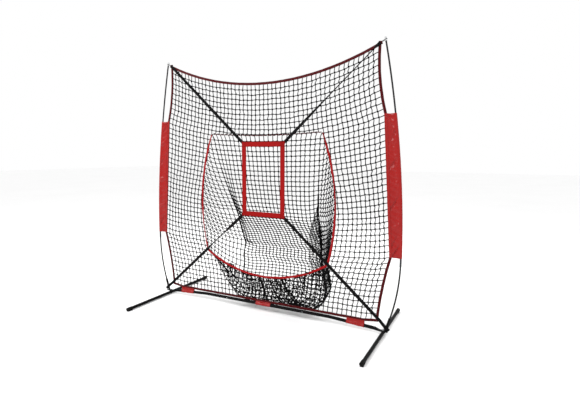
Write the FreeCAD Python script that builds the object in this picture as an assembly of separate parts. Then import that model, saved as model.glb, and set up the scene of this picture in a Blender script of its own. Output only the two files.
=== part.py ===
import FreeCAD
import Part
import math
import os

# Practice net for pitching: a bow-framed net screen with a red strike-zone rectangle
# held on four webbing straps in front of a catch pocket.  Millimetres.
# X runs across the net, +Y is behind it, +Z is up.  The origin is on the ground under
# the middle of the net, which hangs in the plane Y = 0.

# Overall
HEIGHT = 2130.0            # ground to the tops of the pole caps
FOOT_LENGTH = 1050.0       # front to back, over the rubber caps

# Steel tube of the base: 25.4 mm stock
TUBE_R = 12.7
TUBE_WALL = 1.5
FOOT_AXIS_Z = 16.7
CAP_WALL = 2.4
CAP_LENGTH = 45.0
CAP_END = 4.0
PAD_WIDTH = 22.0

# Pivot between each foot and the base bar
PIVOT_X = 1015.0
BOLT_R = 4.0
BORE_R = 4.05
BOLT_HEAD_R = 9.0
BOLT_HEAD_H = 3.2
WASHER_T = 1.0
WASHER_R = 11.0
PADDLE_T = 6.0
PADDLE_WIDTH = 32.0
PADDLE_START = 990.0
PADDLE_END = 1052.0
CRUSH_START = 955.0
NUT_ACROSS_FLATS = 13.0
NUT_H = 8.0
PADDLE_Z = FOOT_AXIS_Z + TUBE_R + 0.1 + WASHER_T + 0.1
PADDLE_TOP = PADDLE_Z + PADDLE_T

# Base bar: level in the middle, sloping down to the crushed ends
BAR_END_Z = PADDLE_Z + TUBE_R
BAR_MIDDLE_Z = BAR_END_Z + 22.0
BAR_BEND_X = 590.0
SECTION_X = 330.0          # where the middle section meets the outer ones
SPIGOT_LENGTH = 70.0
SPIGOT_R = 11.1
SPIGOT_BORE_R = 9.6
SECTION_GAP = 0.2          # between the ends of neighbouring sections
NECK_START = 8.0           # the bore stops this far short of the crushed end

# Snap buttons that lock the bar sections
BUTTON_X = 365.0
BUTTON_R = 3.9
BUTTON_HOLE_R = 4.0
BUTTON_PROUD = 3.0
BUTTON_DOME_R = 6.0
BUTTON_SHANK = 4.5
BUTTON_FLANGE_R = 5.0
FLANGE_T = 1.0
FLANGE_INSET = 1.6
LEAF_T = 0.8
LEAF_WIDTH = 7.0
LEAF_BEND_R = 4.6

# Bow poles: a straight foot in the socket, then two arcs tangent at the widest point
POLE_R = 6.0
POLE_BORE_R = 4.0
SHOCK_CORD_R = 2.5
POLE_FOOT_X = 1036.0
POLE_FOOT_Z = 40.0
POLE_LEAN = math.radians(16.5)
STRAIGHT = 110.0
BOW_X = 1128.0
TIP_X = 972.0
SOCKET_R = 9.6
SOCKET_BORE_R = 6.2
SOCKET_LENGTH = 100.0
FERRULE_R = 7.5
FERRULE_BORE_R = 6.05
FERRULE_HALF = 35.0
TIP_CAP_R = 8.0
TIP_CAP_LENGTH = 28.0
TIP_CAP_COVER = 22.0
TIP_CROWN_H = 3.6
TIP_CROWN_TOP_R = 4.8
TIP_WAIST = 10.0           # from the cap's lower end to its waist
WAIST_GROOVE_R = 2.2
POLE_BOTTOM = 4.0          # the pole's end above the socket's foot

# Net screen and its bindings
NET_T = 2.0
BINDING_T = 5.2
BINDING_WIDTH = 20.0
EDGE_GAP = 2.0             # binding cloth folded round the edge of the net
CORNER_TOP = (948.0, 2105.0)
TOP_SAG_Z = 1893.0
SIDE_UPPER = (951.0, 1880.0)
SLEEVE_TOP = (1000.0, 1611.0)
SLEEVE_BOTTOM = (1066.0, 590.0)
SIDE_LOWER = (1010.0, 340.0)
CORNER_BOTTOM = (979.0, 96.0)
HEM_Z = 82.0
HEM_X = 870.0
NET_CENTRE_Z = 1000.0

# Pole sleeves
SLEEVE_R = 9.5
SLEEVE_BORE_R = 8.0

# Tabs that tie the hem to the base bar
TAB_R = 14.9
TAB_BORE_R = 13.0
TAB_LENGTH = 140.0
TAB_X = 805.0
TAB_TOP_Z = 100.0
TAB_FRONT_Y = -4.6
TAB_BACK_Y = -2.8

# Mouth of the catch pocket
MOUTH_TOP = (505.0, 1482.0)
MOUTH_TOP_SAG_Z = 1464.0
MOUTH_SIDE = (615.0, 870.0)
MOUTH_BOTTOM = (561.0, 478.0)
MOUTH_LIP_Z = 312.0
MOUTH_CENTRE_Z = 900.0
TRIM_WIDTH = 18.0

# Catch pocket
POCKET_WALL = 3.0
POCKET_FRONT_Y = 3.0
POCKET_MARGIN = 9.0
POCKET_CORNER = (650.0, 325.0)
POCKET_LOW_Z = 30.0
# its side view, from top to bottom, as (y, z)
POCKET_TOP_Z = 1500.0
POCKET_UPPER_BACK = (195.0, 1010.0)
POCKET_BACK = (310.0, 520.0)
POCKET_LOWER_BACK = (285.0, 200.0)
POCKET_FOLD = (120.0, 12.0)
POCKET_UNDER_LIP = (32.0, 70.0)
POCKET_TUCK_Z = 200.0
# its plan view, as (x, y) of the right half
POCKET_PLAN = ((662.0, 3.0), (612.0, 22.0), (392.0, 262.0), (372.0, 350.0))

# Strike-zone rectangle and its straps
ZONE_WIDTH = 400.0
ZONE_BOTTOM = 808.0
ZONE_TOP = 1423.0
ZONE_BAND = 38.0
ZONE_FRONT_Y = -7.8
ZONE_T = 2.4
STRAP_WIDTH = 25.0
STRAP_T = 1.5
STRAP_FRONT_Y = -5.2
STRAP_RING_R = 11.6
STRAP_RING_BORE_R = 9.8
STRAP_RING_START = 12.0
STRAP_TAIL = 24.0
STRAP_END_GAP = 7.0        # the upper straps end short of the eyelets

# Elastic loops at the upper corners
LOOP_CORD_R = 1.8
LOOP_R = 9.0
LOOP_SMALL_R = 6.0
EYELET = (947.0, 2101.0)
EYELET_R = 2.4

# Cutting tools reach past what they cut
PAST = 1.0
FAR = 900.0


def v(x, y, z):
    return FreeCAD.Vector(x, y, z)


def save(shape, node):
    os.makedirs("parts", exist_ok=True)
    if not shape.isValid() or shape.Volume <= 0:
        raise ValueError("bad solid in " + node)
    shape.exportStep("parts/" + node + ".step")


def mirrored(shape):
    return shape.mirror(v(0, 0, 0), v(1, 0, 0))


def save_pair(shape, name):
    """Write the right-hand piece and its mirror image on the left."""
    save(shape, name + "_right")
    save(mirrored(shape), name + "_left")


def line(p, q):
    return Part.LineSegment(v(p[0], 0, p[1]), v(q[0], 0, q[1])).toShape()


def arc(p, through, q):
    return Part.Arc(v(p[0], 0, p[1]), v(through[0], 0, through[1]), v(q[0], 0, q[1])).toShape()


def flipped(p):
    return (-p[0], p[1])


def outline(edges):
    """Closed wire in the XZ plane."""
    return Part.Wire(Part.__sortEdges__(edges))


def polygon(points):
    return outline([line(p, q) for p, q in zip(points, points[1:] + points[:1])])


def plate(wire, y_front, y_back):
    """Solid between two planes of constant Y."""
    solid = Part.Face(wire).extrude(v(0, y_back - y_front, 0))
    solid.translate(v(0, y_front, 0))
    return solid


def box(x0, x1, y0, y1, z0, z1):
    return Part.makeBox(x1 - x0, y1 - y0, z1 - z0, v(x0, y0, z0))


def drilled(shape, radius, x, z):
    """The shape with a hole through it from front to back."""
    return shape.cut(Part.makeCylinder(radius, 2 * FAR, v(x, -FAR, z), v(0, 1, 0)))


def joined(pieces):
    return pieces[0].fuse(pieces[1:]).removeSplitter()


def largest(shape):
    return max(shape.Solids, key=lambda s: s.Volume)


# --- the bow pole's centreline -------------------------------------------------------

ARC_START_X = POLE_FOOT_X + STRAIGHT * math.sin(POLE_LEAN)
ARC_START_Z = POLE_FOOT_Z + STRAIGHT * math.cos(POLE_LEAN)
LOWER_R = (BOW_X - ARC_START_X) / (1 - math.cos(POLE_LEAN))
BOW_Z = ARC_START_Z + LOWER_R * math.sin(POLE_LEAN)
TIP_RISE = HEIGHT - BOW_Z
TIP_DRAW = BOW_X - TIP_X
UPPER_R = (TIP_RISE ** 2 + TIP_DRAW ** 2) / (2 * TIP_DRAW)
S_BOW = STRAIGHT + LOWER_R * POLE_LEAN
S_TIP = S_BOW + UPPER_R * math.asin(TIP_RISE / UPPER_R)
S_POLE_END = S_TIP - (TIP_CAP_LENGTH - TIP_CAP_COVER)
S_UPPER_JOINT = (S_BOW + S_POLE_END) / 2


def pole_point(s):
    """Centre and upward direction of the right pole at length s from its foot."""
    if s <= STRAIGHT:
        x = POLE_FOOT_X + s * math.sin(POLE_LEAN)
        z = POLE_FOOT_Z + s * math.cos(POLE_LEAN)
        return v(x, 0, z), v(math.sin(POLE_LEAN), 0, math.cos(POLE_LEAN))
    if s <= S_BOW:
        radius = LOWER_R
        turn = (s - S_BOW) / LOWER_R
    else:
        radius = UPPER_R
        turn = (s - S_BOW) / UPPER_R
    x = BOW_X - radius + radius * math.cos(turn)
    z = BOW_Z + radius * math.sin(turn)
    return v(x, 0, z), v(-math.sin(turn), 0, math.cos(turn))


def pole_station(height):
    """Length along the pole at which its centreline reaches a height above the bow's foot."""
    if height <= BOW_Z:
        return S_BOW - LOWER_R * math.asin((BOW_Z - height) / LOWER_R)
    return S_BOW + UPPER_R * math.asin((height - BOW_Z) / UPPER_R)


def rod(radius, start, end):
    """Round solid of a given radius along the pole's centreline."""
    pieces = []
    cuts = [start] + [c for c in (STRAIGHT, S_BOW) if start < c < end] + [end]
    for first, last in zip(cuts, cuts[1:]):
        at, along = pole_point(first)
        middle = (first + last) / 2
        if middle <= STRAIGHT:
            pieces.append(Part.makeCylinder(radius, last - first, at, along))
            continue
        bend_r = LOWER_R if middle <= S_BOW else UPPER_R
        disc = Part.Face(Part.Wire(Part.makeCircle(radius, at, along)))
        turn = math.degrees((last - first) / bend_r)
        pieces.append(disc.revolve(v(BOW_X - bend_r, 0, BOW_Z), v(0, -1, 0), turn))
    return joined(pieces) if len(pieces) > 1 else pieces[0]


def sleeve_tube(radius, bore, start, end):
    return rod(radius, start, end).cut(rod(bore, start - PAST, end + PAST))


# --- base bar ------------------------------------------------------------------------

BAR_SLOPE = math.atan2(BAR_MIDDLE_Z - BAR_END_Z, CRUSH_START - BAR_BEND_X)
BAR_BEND_R = 300.0
BEND_SET_BACK = BAR_BEND_R * math.tan(BAR_SLOPE / 2)


def bar_rod(radius, start_x, end_x):
    """Round solid along the right half of the bar: level, one bend, then sloping down."""
    bend_x = BAR_BEND_X - BEND_SET_BACK
    level = Part.makeCylinder(radius, bend_x - start_x, v(start_x, 0, BAR_MIDDLE_Z), v(1, 0, 0))
    disc = Part.Face(Part.Wire(Part.makeCircle(radius, v(bend_x, 0, BAR_MIDDLE_Z), v(1, 0, 0))))
    bend = disc.revolve(v(bend_x, 0, BAR_MIDDLE_Z - BAR_BEND_R), v(0, 1, 0), math.degrees(BAR_SLOPE))
    along = v(math.cos(BAR_SLOPE), 0, -math.sin(BAR_SLOPE))
    slope_x = BAR_BEND_X + BEND_SET_BACK * math.cos(BAR_SLOPE)
    slope_z = BAR_MIDDLE_Z - BEND_SET_BACK * math.sin(BAR_SLOPE)
    length = (end_x - slope_x) / math.cos(BAR_SLOPE)
    slope = Part.makeCylinder(radius, length, v(slope_x, 0, slope_z), along)
    return joined([level, bend, slope])


def bar_z(x):
    """Height of the bar's centreline."""
    return BAR_MIDDLE_Z - max(0.0, abs(x) - BAR_BEND_X) * math.tan(BAR_SLOPE)


def quartered_ring(half_width, half_height, corner_r, centre, across, up):
    """Rounded outline in four lines and four arcs; a circle has lines of no length."""
    edges = []
    flat_w = half_width - corner_r
    flat_h = half_height - corner_r

    def at(w, h):
        return centre + across * w + up * h

    corners = [(1, 1), (-1, 1), (-1, -1), (1, -1)]
    diagonal = corner_r * math.sqrt(0.5)
    for i, (sw, sh) in enumerate(corners):
        next_w, next_h = corners[(i + 1) % 4]
        w, h = sw * flat_w, sh * flat_h
        middle = at(w + sw * diagonal, h + sh * diagonal)
        side = at(w + sw * corner_r, h)
        top = at(w, h + sh * corner_r)
        first, last = (side, top) if sw * sh > 0 else (top, side)
        edges.append(Part.Arc(first, middle, last).toShape())
        nw, nh = next_w * flat_w, next_h * flat_h
        if sw != next_w:
            start, end = at(w, h + sh * corner_r), at(nw, nh + next_h * corner_r)
        else:
            start, end = at(w + sw * corner_r, h), at(nw + next_w * corner_r, nh)
        edges.append(Part.LineSegment(start, end).toShape())
    return Part.Wire(Part.__sortEdges__(edges))


def crushed_end():
    """The tube flattened to a paddle whose underside is level with the tube's own."""
    along = v(math.cos(BAR_SLOPE), 0, -math.sin(BAR_SLOPE))
    up = v(math.sin(BAR_SLOPE), 0, math.cos(BAR_SLOPE))
    across = v(0, 1, 0)
    flat = 0.4             # short flats keep the two outlines alike
    round_centre = v(CRUSH_START, 0, bar_z(CRUSH_START)) - along * 0.01
    tube_end = quartered_ring(TUBE_R, TUBE_R, TUBE_R - flat, round_centre, across, up)
    paddle_centre = v(PADDLE_START, 0, PADDLE_Z + PADDLE_T / 2)
    flat_end = quartered_ring(PADDLE_WIDTH / 2, PADDLE_T / 2, 2.0, paddle_centre, across, v(0, 0, 1))
    neck = Part.makeLoft([tube_end, flat_end], True, True)
    blade = Part.Face(flat_end).extrude(v(PADDLE_END - PADDLE_START, 0, 0))
    return joined([neck, blade])


def base_bar():
    # middle section with a swaged spigot at each end
    body = Part.makeCylinder(TUBE_R, 2 * SECTION_X, v(-SECTION_X, 0, BAR_MIDDLE_Z), v(1, 0, 0))
    reach = SECTION_X + SPIGOT_LENGTH
    spigots = Part.makeCylinder(SPIGOT_R, 2 * reach, v(-reach, 0, BAR_MIDDLE_Z), v(1, 0, 0))
    bore_start = v(-reach - PAST, 0, BAR_MIDDLE_Z)
    bore = Part.makeCylinder(SPIGOT_BORE_R, 2 * (reach + PAST), bore_start, v(1, 0, 0))
    middle = joined([body, spigots]).cut(bore)
    for x in (-BUTTON_X, BUTTON_X):
        middle = middle.cut(button_hole(x))
    save(middle, "base_bar_middle")

    # outer section: hollow tube, crushed at the foot
    tube = bar_rod(TUBE_R, SECTION_X + SECTION_GAP, CRUSH_START)
    tube = tube.cut(bar_rod(TUBE_R - TUBE_WALL, SECTION_X - PAST, CRUSH_START - NECK_START))
    outer = joined([tube, crushed_end()])
    outer = outer.cut(button_hole(BUTTON_X))
    outer = outer.cut(pivot_hole())
    save_pair(outer, "base_bar")


def button_hole(x):
    return Part.makeCylinder(BUTTON_HOLE_R, TUBE_R + PAST, v(x, 0, BAR_MIDDLE_Z), v(0, -1, 0))


def pivot_hole():
    return Part.makeCylinder(BORE_R, PADDLE_TOP + PAST, v(PIVOT_X, 0, 0))


def snap_buttons():
    """Domed pin that stands through both tubes on the front, with its leaf spring."""
    tip_y = -(TUBE_R + BUTTON_PROUD)
    flange_y = -(SPIGOT_BORE_R - FLANGE_INSET)
    front = v(0, -1, 0)
    at = v(BUTTON_X, flange_y, BAR_MIDDLE_Z)
    dome = Part.makeSphere(BUTTON_DOME_R, v(BUTTON_X, tip_y + BUTTON_DOME_R, BAR_MIDDLE_Z))
    tip = Part.makeCylinder(BUTTON_R, flange_y - tip_y + PAST, at, front).common(dome)
    shank = Part.makeCylinder(BUTTON_R, BUTTON_SHANK, at, front)
    flange = Part.makeCylinder(BUTTON_FLANGE_R, FLANGE_T, at + v(0, FLANGE_T, 0), front)
    save_pair(joined([tip, shank, flange]), "snap_button")

    # hairpin leaf behind the flange, opening along the tube
    near_y = flange_y + FLANGE_T + 0.05
    far_y = near_y + 2 * LEAF_BEND_R
    z0 = BAR_MIDDLE_Z - LEAF_WIDTH / 2
    z1 = BAR_MIDDLE_Z + LEAF_WIDTH / 2
    bend_x = BUTTON_X + 12
    near_leg = box(BUTTON_X - 4, bend_x, near_y, near_y + LEAF_T, z0, z1)
    far_leg = box(BUTTON_X - 14, bend_x, far_y - LEAF_T, far_y, z0, z1)
    hoop_at = v(bend_x, near_y + LEAF_BEND_R, z0)
    hoop = Part.makeCylinder(LEAF_BEND_R, LEAF_WIDTH, hoop_at)
    hoop = hoop.cut(Part.makeCylinder(LEAF_BEND_R - LEAF_T, LEAF_WIDTH, hoop_at))
    hoop = hoop.cut(box(bend_x - 10, bend_x, near_y - PAST, far_y + PAST, z0, z1))
    save_pair(joined([near_leg, far_leg, hoop]), "button_spring")


# --- feet and their pivots -----------------------------------------------------------

def feet():
    half = FOOT_LENGTH / 2 - CAP_END
    axis = v(0, 1, 0)
    tube = Part.makeCylinder(TUBE_R, 2 * half, v(PIVOT_X, -half, FOOT_AXIS_Z), axis)
    tube = tube.cut(Part.makeCylinder(TUBE_R - TUBE_WALL, 2 * half, v(PIVOT_X, -half, FOOT_AXIS_Z), axis))
    save_pair(tube.cut(pivot_hole()), "foot_tube")

    for end, side in (("front", -1), ("rear", 1)):
        outer_y = side * FOOT_LENGTH / 2
        inner_y = side * (FOOT_LENGTH / 2 - CAP_LENGTH)
        low_y, high_y = min(outer_y, inner_y), max(outer_y, inner_y)
        cap = Part.makeCylinder(TUBE_R + CAP_WALL, CAP_LENGTH, v(PIVOT_X, low_y, FOOT_AXIS_Z), axis)
        pad = box(PIVOT_X - PAD_WIDTH / 2, PIVOT_X + PAD_WIDTH / 2, low_y, high_y, 0, FOOT_AXIS_Z)
        ground = box(PIVOT_X - FAR, PIVOT_X + FAR, low_y - PAST, high_y + PAST, -FAR, 0)
        hollow = Part.makeCylinder(TUBE_R, 2 * half, v(PIVOT_X, -half, FOOT_AXIS_Z), axis)
        save_pair(joined([cap, pad]).cut(ground).cut(hollow), "foot_cap_" + end)


def pivots():
    foot_bottom = FOOT_AXIS_Z - TUBE_R
    nut_top = PADDLE_TOP + NUT_H
    head_top = foot_bottom - 0.2
    head = Part.makeCylinder(BOLT_HEAD_R, BOLT_HEAD_H, v(PIVOT_X, 0, head_top - BOLT_HEAD_H))
    shank = Part.makeCylinder(BOLT_R, nut_top + 2 - head_top, v(PIVOT_X, 0, head_top))
    save_pair(joined([head, shank]), "pivot_bolt")

    ring = Part.makeCylinder(WASHER_R, WASHER_T, v(PIVOT_X, 0, PADDLE_Z - 0.1 - WASHER_T))
    save_pair(ring.cut(pivot_hole()), "pivot_washer")

    corner_r = NUT_ACROSS_FLATS / math.sqrt(3)
    corners = []
    for i in range(6):
        turn = math.radians(60 * i + 30)
        corners.append(v(PIVOT_X + corner_r * math.cos(turn), corner_r * math.sin(turn), PADDLE_TOP))
    nut = Part.Face(Part.makePolygon(corners + corners[:1])).extrude(v(0, 0, NUT_H))
    nut = nut.cut(Part.makeCylinder(BOLT_R, nut_top + PAST, v(PIVOT_X, 0, 0)))
    save_pair(nut, "pivot_nut")


# --- bow poles -----------------------------------------------------------------------

def poles():
    paddle_space = box(PIVOT_X, BOW_X, -FAR, FAR, -FAR, PADDLE_TOP)
    socket = sleeve_tube(SOCKET_R, SOCKET_BORE_R, -SOCKET_R, SOCKET_LENGTH).cut(paddle_space)
    save_pair(largest(socket), "pole_socket")

    gap = 0.1
    joints = [POLE_BOTTOM, S_BOW, S_UPPER_JOINT, S_POLE_END]
    for name, start, end in zip(("lower", "middle", "upper"), joints, joints[1:]):
        save_pair(sleeve_tube(POLE_R, POLE_BORE_R, start + gap, end - gap), "pole_" + name)

    ferrules = []
    for station in (S_BOW, S_UPPER_JOINT):
        start, end = station - FERRULE_HALF, station + FERRULE_HALF
        ferrules.append(sleeve_tube(FERRULE_R, FERRULE_BORE_R, start, end))
    save_pair(Part.makeCompound(ferrules), "pole_ferrules")

    save_pair(rod(SHOCK_CORD_R, POLE_BOTTOM + 6, S_POLE_END - 4), "shock_cord")

    # moulded cap with a waist that the elastic loop sits in
    cap_start = S_TIP - TIP_CAP_LENGTH
    cap = rod(TIP_CAP_R, cap_start, S_TIP - TIP_CROWN_H)
    tip_at, tip_up = pole_point(S_TIP - TIP_CROWN_H)
    crown = Part.makeCone(TIP_CAP_R, TIP_CROWN_TOP_R, TIP_CROWN_H, tip_at, tip_up)
    waist_at, waist_up = pole_point(cap_start + TIP_WAIST)
    groove = Part.makeTorus(LOOP_R + 0.4, WAIST_GROOVE_R, waist_at, waist_up)
    hollow = rod(POLE_R, cap_start - PAST, S_POLE_END - gap)
    save_pair(joined([cap, crown]).cut(groove).cut(hollow), "pole_cap")

    corner_loop(waist_at, waist_up)


def corner_loop(waist_at, waist_up):
    """Elastic cord once round the cap's waist and through the eyelet at the net's corner."""
    across = v(0, 1, 0)
    along = waist_up.cross(across) * -1
    small_at = v(EYELET[0], 0, EYELET[1]) + along * LOOP_SMALL_R
    reach = waist_at - small_at
    along = reach * (1 / reach.Length)
    axis = across.cross(along)
    lean = math.asin((LOOP_R - LOOP_SMALL_R) / reach.Length)

    def spoke(side):
        return across * (side * math.cos(lean)) - along * math.sin(lean)

    pieces = []
    for centre, radius, side, turn in (
        (waist_at, LOOP_R, 1, math.pi + 2 * lean),
        (small_at, LOOP_SMALL_R, -1, math.pi - 2 * lean),
    ):
        start = centre + spoke(side) * radius
        disc = Part.Face(Part.Wire(Part.makeCircle(LOOP_CORD_R, start, axis.cross(spoke(side)))))
        pieces.append(disc.revolve(centre, axis, math.degrees(turn)))
    for side in (-1, 1):
        first = small_at + spoke(side) * LOOP_SMALL_R
        run = waist_at + spoke(side) * LOOP_R - first
        pieces.append(Part.makeCylinder(LOOP_CORD_R, run.Length, first, run))
    save_pair(joined(pieces), "corner_loop")


# --- net screen ----------------------------------------------------------------------

def net_outline():
    right = [
        arc(CORNER_TOP, SIDE_UPPER, SLEEVE_TOP),
        line(SLEEVE_TOP, SLEEVE_BOTTOM),
        arc(SLEEVE_BOTTOM, SIDE_LOWER, CORNER_BOTTOM),
        line(CORNER_BOTTOM, (HEM_X, HEM_Z)),
    ]
    left = [
        arc(flipped(CORNER_TOP), flipped(SIDE_UPPER), flipped(SLEEVE_TOP)),
        line(flipped(SLEEVE_TOP), flipped(SLEEVE_BOTTOM)),
        arc(flipped(SLEEVE_BOTTOM), flipped(SIDE_LOWER), flipped(CORNER_BOTTOM)),
        line(flipped(CORNER_BOTTOM), (-HEM_X, HEM_Z)),
    ]
    top = arc(flipped(CORNER_TOP), (0, TOP_SAG_Z), CORNER_TOP)
    hem = line((-HEM_X, HEM_Z), (HEM_X, HEM_Z))
    return outline(right + left + [top, hem])


def mouth_outline():
    return outline([
        arc(flipped(MOUTH_TOP), (0, MOUTH_TOP_SAG_Z), MOUTH_TOP),
        arc(MOUTH_TOP, MOUTH_SIDE, MOUTH_BOTTOM),
        arc(MOUTH_BOTTOM, (0, MOUTH_LIP_Z), flipped(MOUTH_BOTTOM)),
        arc(flipped(MOUTH_BOTTOM), flipped(MOUTH_SIDE), flipped(MOUTH_TOP)),
    ])


def resized(wire, by):
    """The same outline moved outwards (or inwards when negative) by a distance."""
    return wire.makeOffset2D(by, 2)


def quarters(centre_z, top_corner, bottom_corner):
    """Four wedges that meet at a point and pass through the corners of an outline."""
    times = 3.0
    hub = (0, centre_z)

    def out(corner, side):
        return (side * corner[0] * times, centre_z + (corner[1] - centre_z) * times)

    tr, tl = out(top_corner, 1), out(top_corner, -1)
    br, bl = out(bottom_corner, 1), out(bottom_corner, -1)
    wedges = {
        "top": [hub, tl, tr],
        "right": [hub, tr, br],
        "bottom": [hub, br, bl],
        "left": [hub, bl, tl],
    }
    return {name: plate(polygon(points), -FAR, FAR) for name, points in wedges.items()}


def net_screen():
    edge = net_outline()
    mouth = mouth_outline()
    screen = plate(resized(edge, -EDGE_GAP), -NET_T / 2, NET_T / 2)
    screen = screen.cut(plate(resized(mouth, EDGE_GAP), -NET_T, NET_T))
    save(screen, "net_screen")

    # bindings folded over the edge: a band on both faces joined past the net's edge
    half = BINDING_T / 2
    band = plate(edge, -half, half)
    band = band.cut(plate(resized(edge, -BINDING_WIDTH), -FAR, FAR)).cut(screen)
    for name, wedge in quarters(NET_CENTRE_Z, CORNER_TOP, CORNER_BOTTOM).items():
        piece = largest(band.common(wedge))
        if name in ("left", "right"):
            side = 1 if name == "right" else -1
            piece = drilled(piece, EYELET_R, side * EYELET[0], EYELET[1])
        save(largest(piece), "net_binding_" + name)

    trim = plate(resized(mouth, TRIM_WIDTH), -half, half).cut(plate(mouth, -FAR, FAR)).cut(screen)
    for name, wedge in quarters(MOUTH_CENTRE_Z, MOUTH_TOP, MOUTH_BOTTOM).items():
        save(largest(trim.common(wedge)), "mouth_trim_" + name)


def pole_sleeves():
    """Cloth pocket round the bow of the pole, sewn along the straight part of the net's side."""
    start = pole_station(SLEEVE_BOTTOM[1])
    end = pole_station(SLEEVE_TOP[1])
    bottom, bow, top = (pole_point(s)[0] for s in (start, S_BOW, end))
    low_mid = pole_point((start + S_BOW) / 2)[0]
    high_mid = pole_point((end + S_BOW) / 2)[0]
    edge = 0.1
    inner_top = (SLEEVE_TOP[0] + edge, SLEEVE_TOP[1])
    inner_bottom = (SLEEVE_BOTTOM[0] + edge, SLEEVE_BOTTOM[1])
    web = plate(outline([
        line(inner_bottom, (bottom.x, bottom.z)),
        arc((bottom.x, bottom.z), (low_mid.x, low_mid.z), (bow.x, bow.z)),
        arc((bow.x, bow.z), (high_mid.x, high_mid.z), (top.x, top.z)),
        line((top.x, top.z), inner_top),
        line(inner_top, inner_bottom),
    ]), -BINDING_T / 2, BINDING_T / 2)
    core = rod(SLEEVE_BORE_R, start - SLEEVE_R, end + SLEEVE_R)
    sleeve = joined([web, rod(SLEEVE_R, start, end)]).cut(core)
    save_pair(largest(sleeve), "pole_sleeve")


def bar_tabs():
    """Red cloth tabs: round the bar, with a tongue sewn over the hem."""
    half = TAB_LENGTH / 2
    tongue = box(-half, half, TAB_FRONT_Y, TAB_BACK_Y, BAR_MIDDLE_Z, TAB_TOP_Z)
    ring = Part.makeCylinder(TAB_R, TAB_LENGTH, v(-half, 0, BAR_MIDDLE_Z), v(1, 0, 0))
    bore_start = v(-half - PAST, 0, BAR_MIDDLE_Z)
    bore = Part.makeCylinder(TAB_BORE_R, TAB_LENGTH + 2 * PAST, bore_start, v(1, 0, 0))
    save(joined([tongue, ring]).cut(bore), "bar_tab_middle")

    along = v(math.cos(BAR_SLOPE), 0, -math.sin(BAR_SLOPE))
    start = v(TAB_X, 0, bar_z(TAB_X)) - along * half
    ring = Part.makeCylinder(TAB_R, TAB_LENGTH, start, along)
    bore = Part.makeCylinder(TAB_BORE_R, TAB_LENGTH + 2 * PAST, start - along * PAST, along)
    tongue = box(TAB_X - half, TAB_X + half, TAB_FRONT_Y, TAB_BACK_Y, bar_z(TAB_X), TAB_TOP_Z)
    save_pair(joined([tongue, ring]).cut(bore), "bar_tab")


# --- catch pocket --------------------------------------------------------------------

def pocket_envelope(inset):
    """Closed bag: its front, side and top outlines extruded and intersected."""
    top = (MOUTH_TOP[0] + POCKET_MARGIN, MOUTH_TOP[1] + POCKET_MARGIN)
    side = (MOUTH_SIDE[0] + POCKET_MARGIN, MOUTH_SIDE[1])
    waist = (MOUTH_BOTTOM[0] + POCKET_MARGIN, MOUTH_BOTTOM[1])
    front = outline([
        arc(flipped(top), (0, MOUTH_TOP_SAG_Z + POCKET_MARGIN), top),
        arc(top, side, waist),
        line(waist, POCKET_CORNER),
        arc(POCKET_CORNER, (0, POCKET_LOW_Z), flipped(POCKET_CORNER)),
        line(flipped(POCKET_CORNER), flipped(waist)),
        arc(flipped(waist), flipped(side), flipped(top)),
    ])
    front_prism = plate(resized(front, -inset), -FAR, FAR)

    def at(point):
        return v(0, point[0], point[1])

    high = at((POCKET_FRONT_Y, POCKET_TOP_Z))
    tuck = at((POCKET_FRONT_Y, POCKET_TUCK_Z))
    profile = Part.Wire(Part.__sortEdges__([
        Part.Arc(high, at(POCKET_UPPER_BACK), at(POCKET_BACK)).toShape(),
        Part.Arc(at(POCKET_BACK), at(POCKET_LOWER_BACK), at(POCKET_FOLD)).toShape(),
        Part.Arc(at(POCKET_FOLD), at(POCKET_UNDER_LIP), tuck).toShape(),
        Part.LineSegment(tuck, high).toShape(),
    ]))
    side_prism = Part.Face(resized(profile, -inset)).extrude(v(2 * FAR, 0, 0))
    side_prism.translate(v(-FAR, 0, 0))

    plan = list(POCKET_PLAN) + [flipped(p) for p in reversed(POCKET_PLAN)]
    corners = [v(x, y, 0) for x, y in plan]
    plan_wire = Part.makePolygon(corners + corners[:1])
    plan_prism = Part.Face(resized(plan_wire, -inset)).extrude(v(0, 0, 2 * FAR))
    return front_prism.common(side_prism).common(plan_prism), plan_prism


def catch_pocket():
    outer, _ = pocket_envelope(0)
    inner, inner_plan = pocket_envelope(POCKET_WALL)
    wall_y = POCKET_FRONT_Y + POCKET_WALL
    walls = outer.cut(inner).cut(plate(mouth_outline(), -FAR, wall_y + PAST / 2))
    front_slab = box(-FAR, FAR, -FAR, wall_y, -FAR, 2 * FAR)
    save(largest(walls.common(front_slab)), "pocket_front")
    behind = walls.cut(front_slab)
    save(largest(behind.common(inner_plan)), "pocket_back")
    sides = behind.cut(inner_plan)
    right_half = box(0, FAR, -FAR, FAR, -FAR, 2 * FAR)
    save_pair(largest(sides.common(right_half)), "pocket_side")


# --- strike zone and straps ----------------------------------------------------------

def strike_zone():
    half = ZONE_WIDTH / 2
    outer = box(-half, half, ZONE_FRONT_Y, ZONE_FRONT_Y + ZONE_T, ZONE_BOTTOM, ZONE_TOP)
    inner_half = half - ZONE_BAND
    low, high = ZONE_BOTTOM + ZONE_BAND, ZONE_TOP - ZONE_BAND
    window = box(-inner_half, inner_half, -FAR, FAR, low, high)
    save(outer.cut(window), "strike_zone_frame")


def strap_plate(start, end):
    """Flat webbing between two points of the XZ plane."""
    dx, dz = end[0] - start[0], end[1] - start[1]
    length = math.hypot(dx, dz)
    nx, nz = -dz / length * STRAP_WIDTH / 2, dx / length * STRAP_WIDTH / 2
    corners = [
        (start[0] + nx, start[1] + nz),
        (end[0] + nx, end[1] + nz),
        (end[0] - nx, end[1] - nz),
        (start[0] - nx, start[1] - nz),
    ]
    return plate(polygon(corners), STRAP_FRONT_Y, STRAP_FRONT_Y + STRAP_T)


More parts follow.
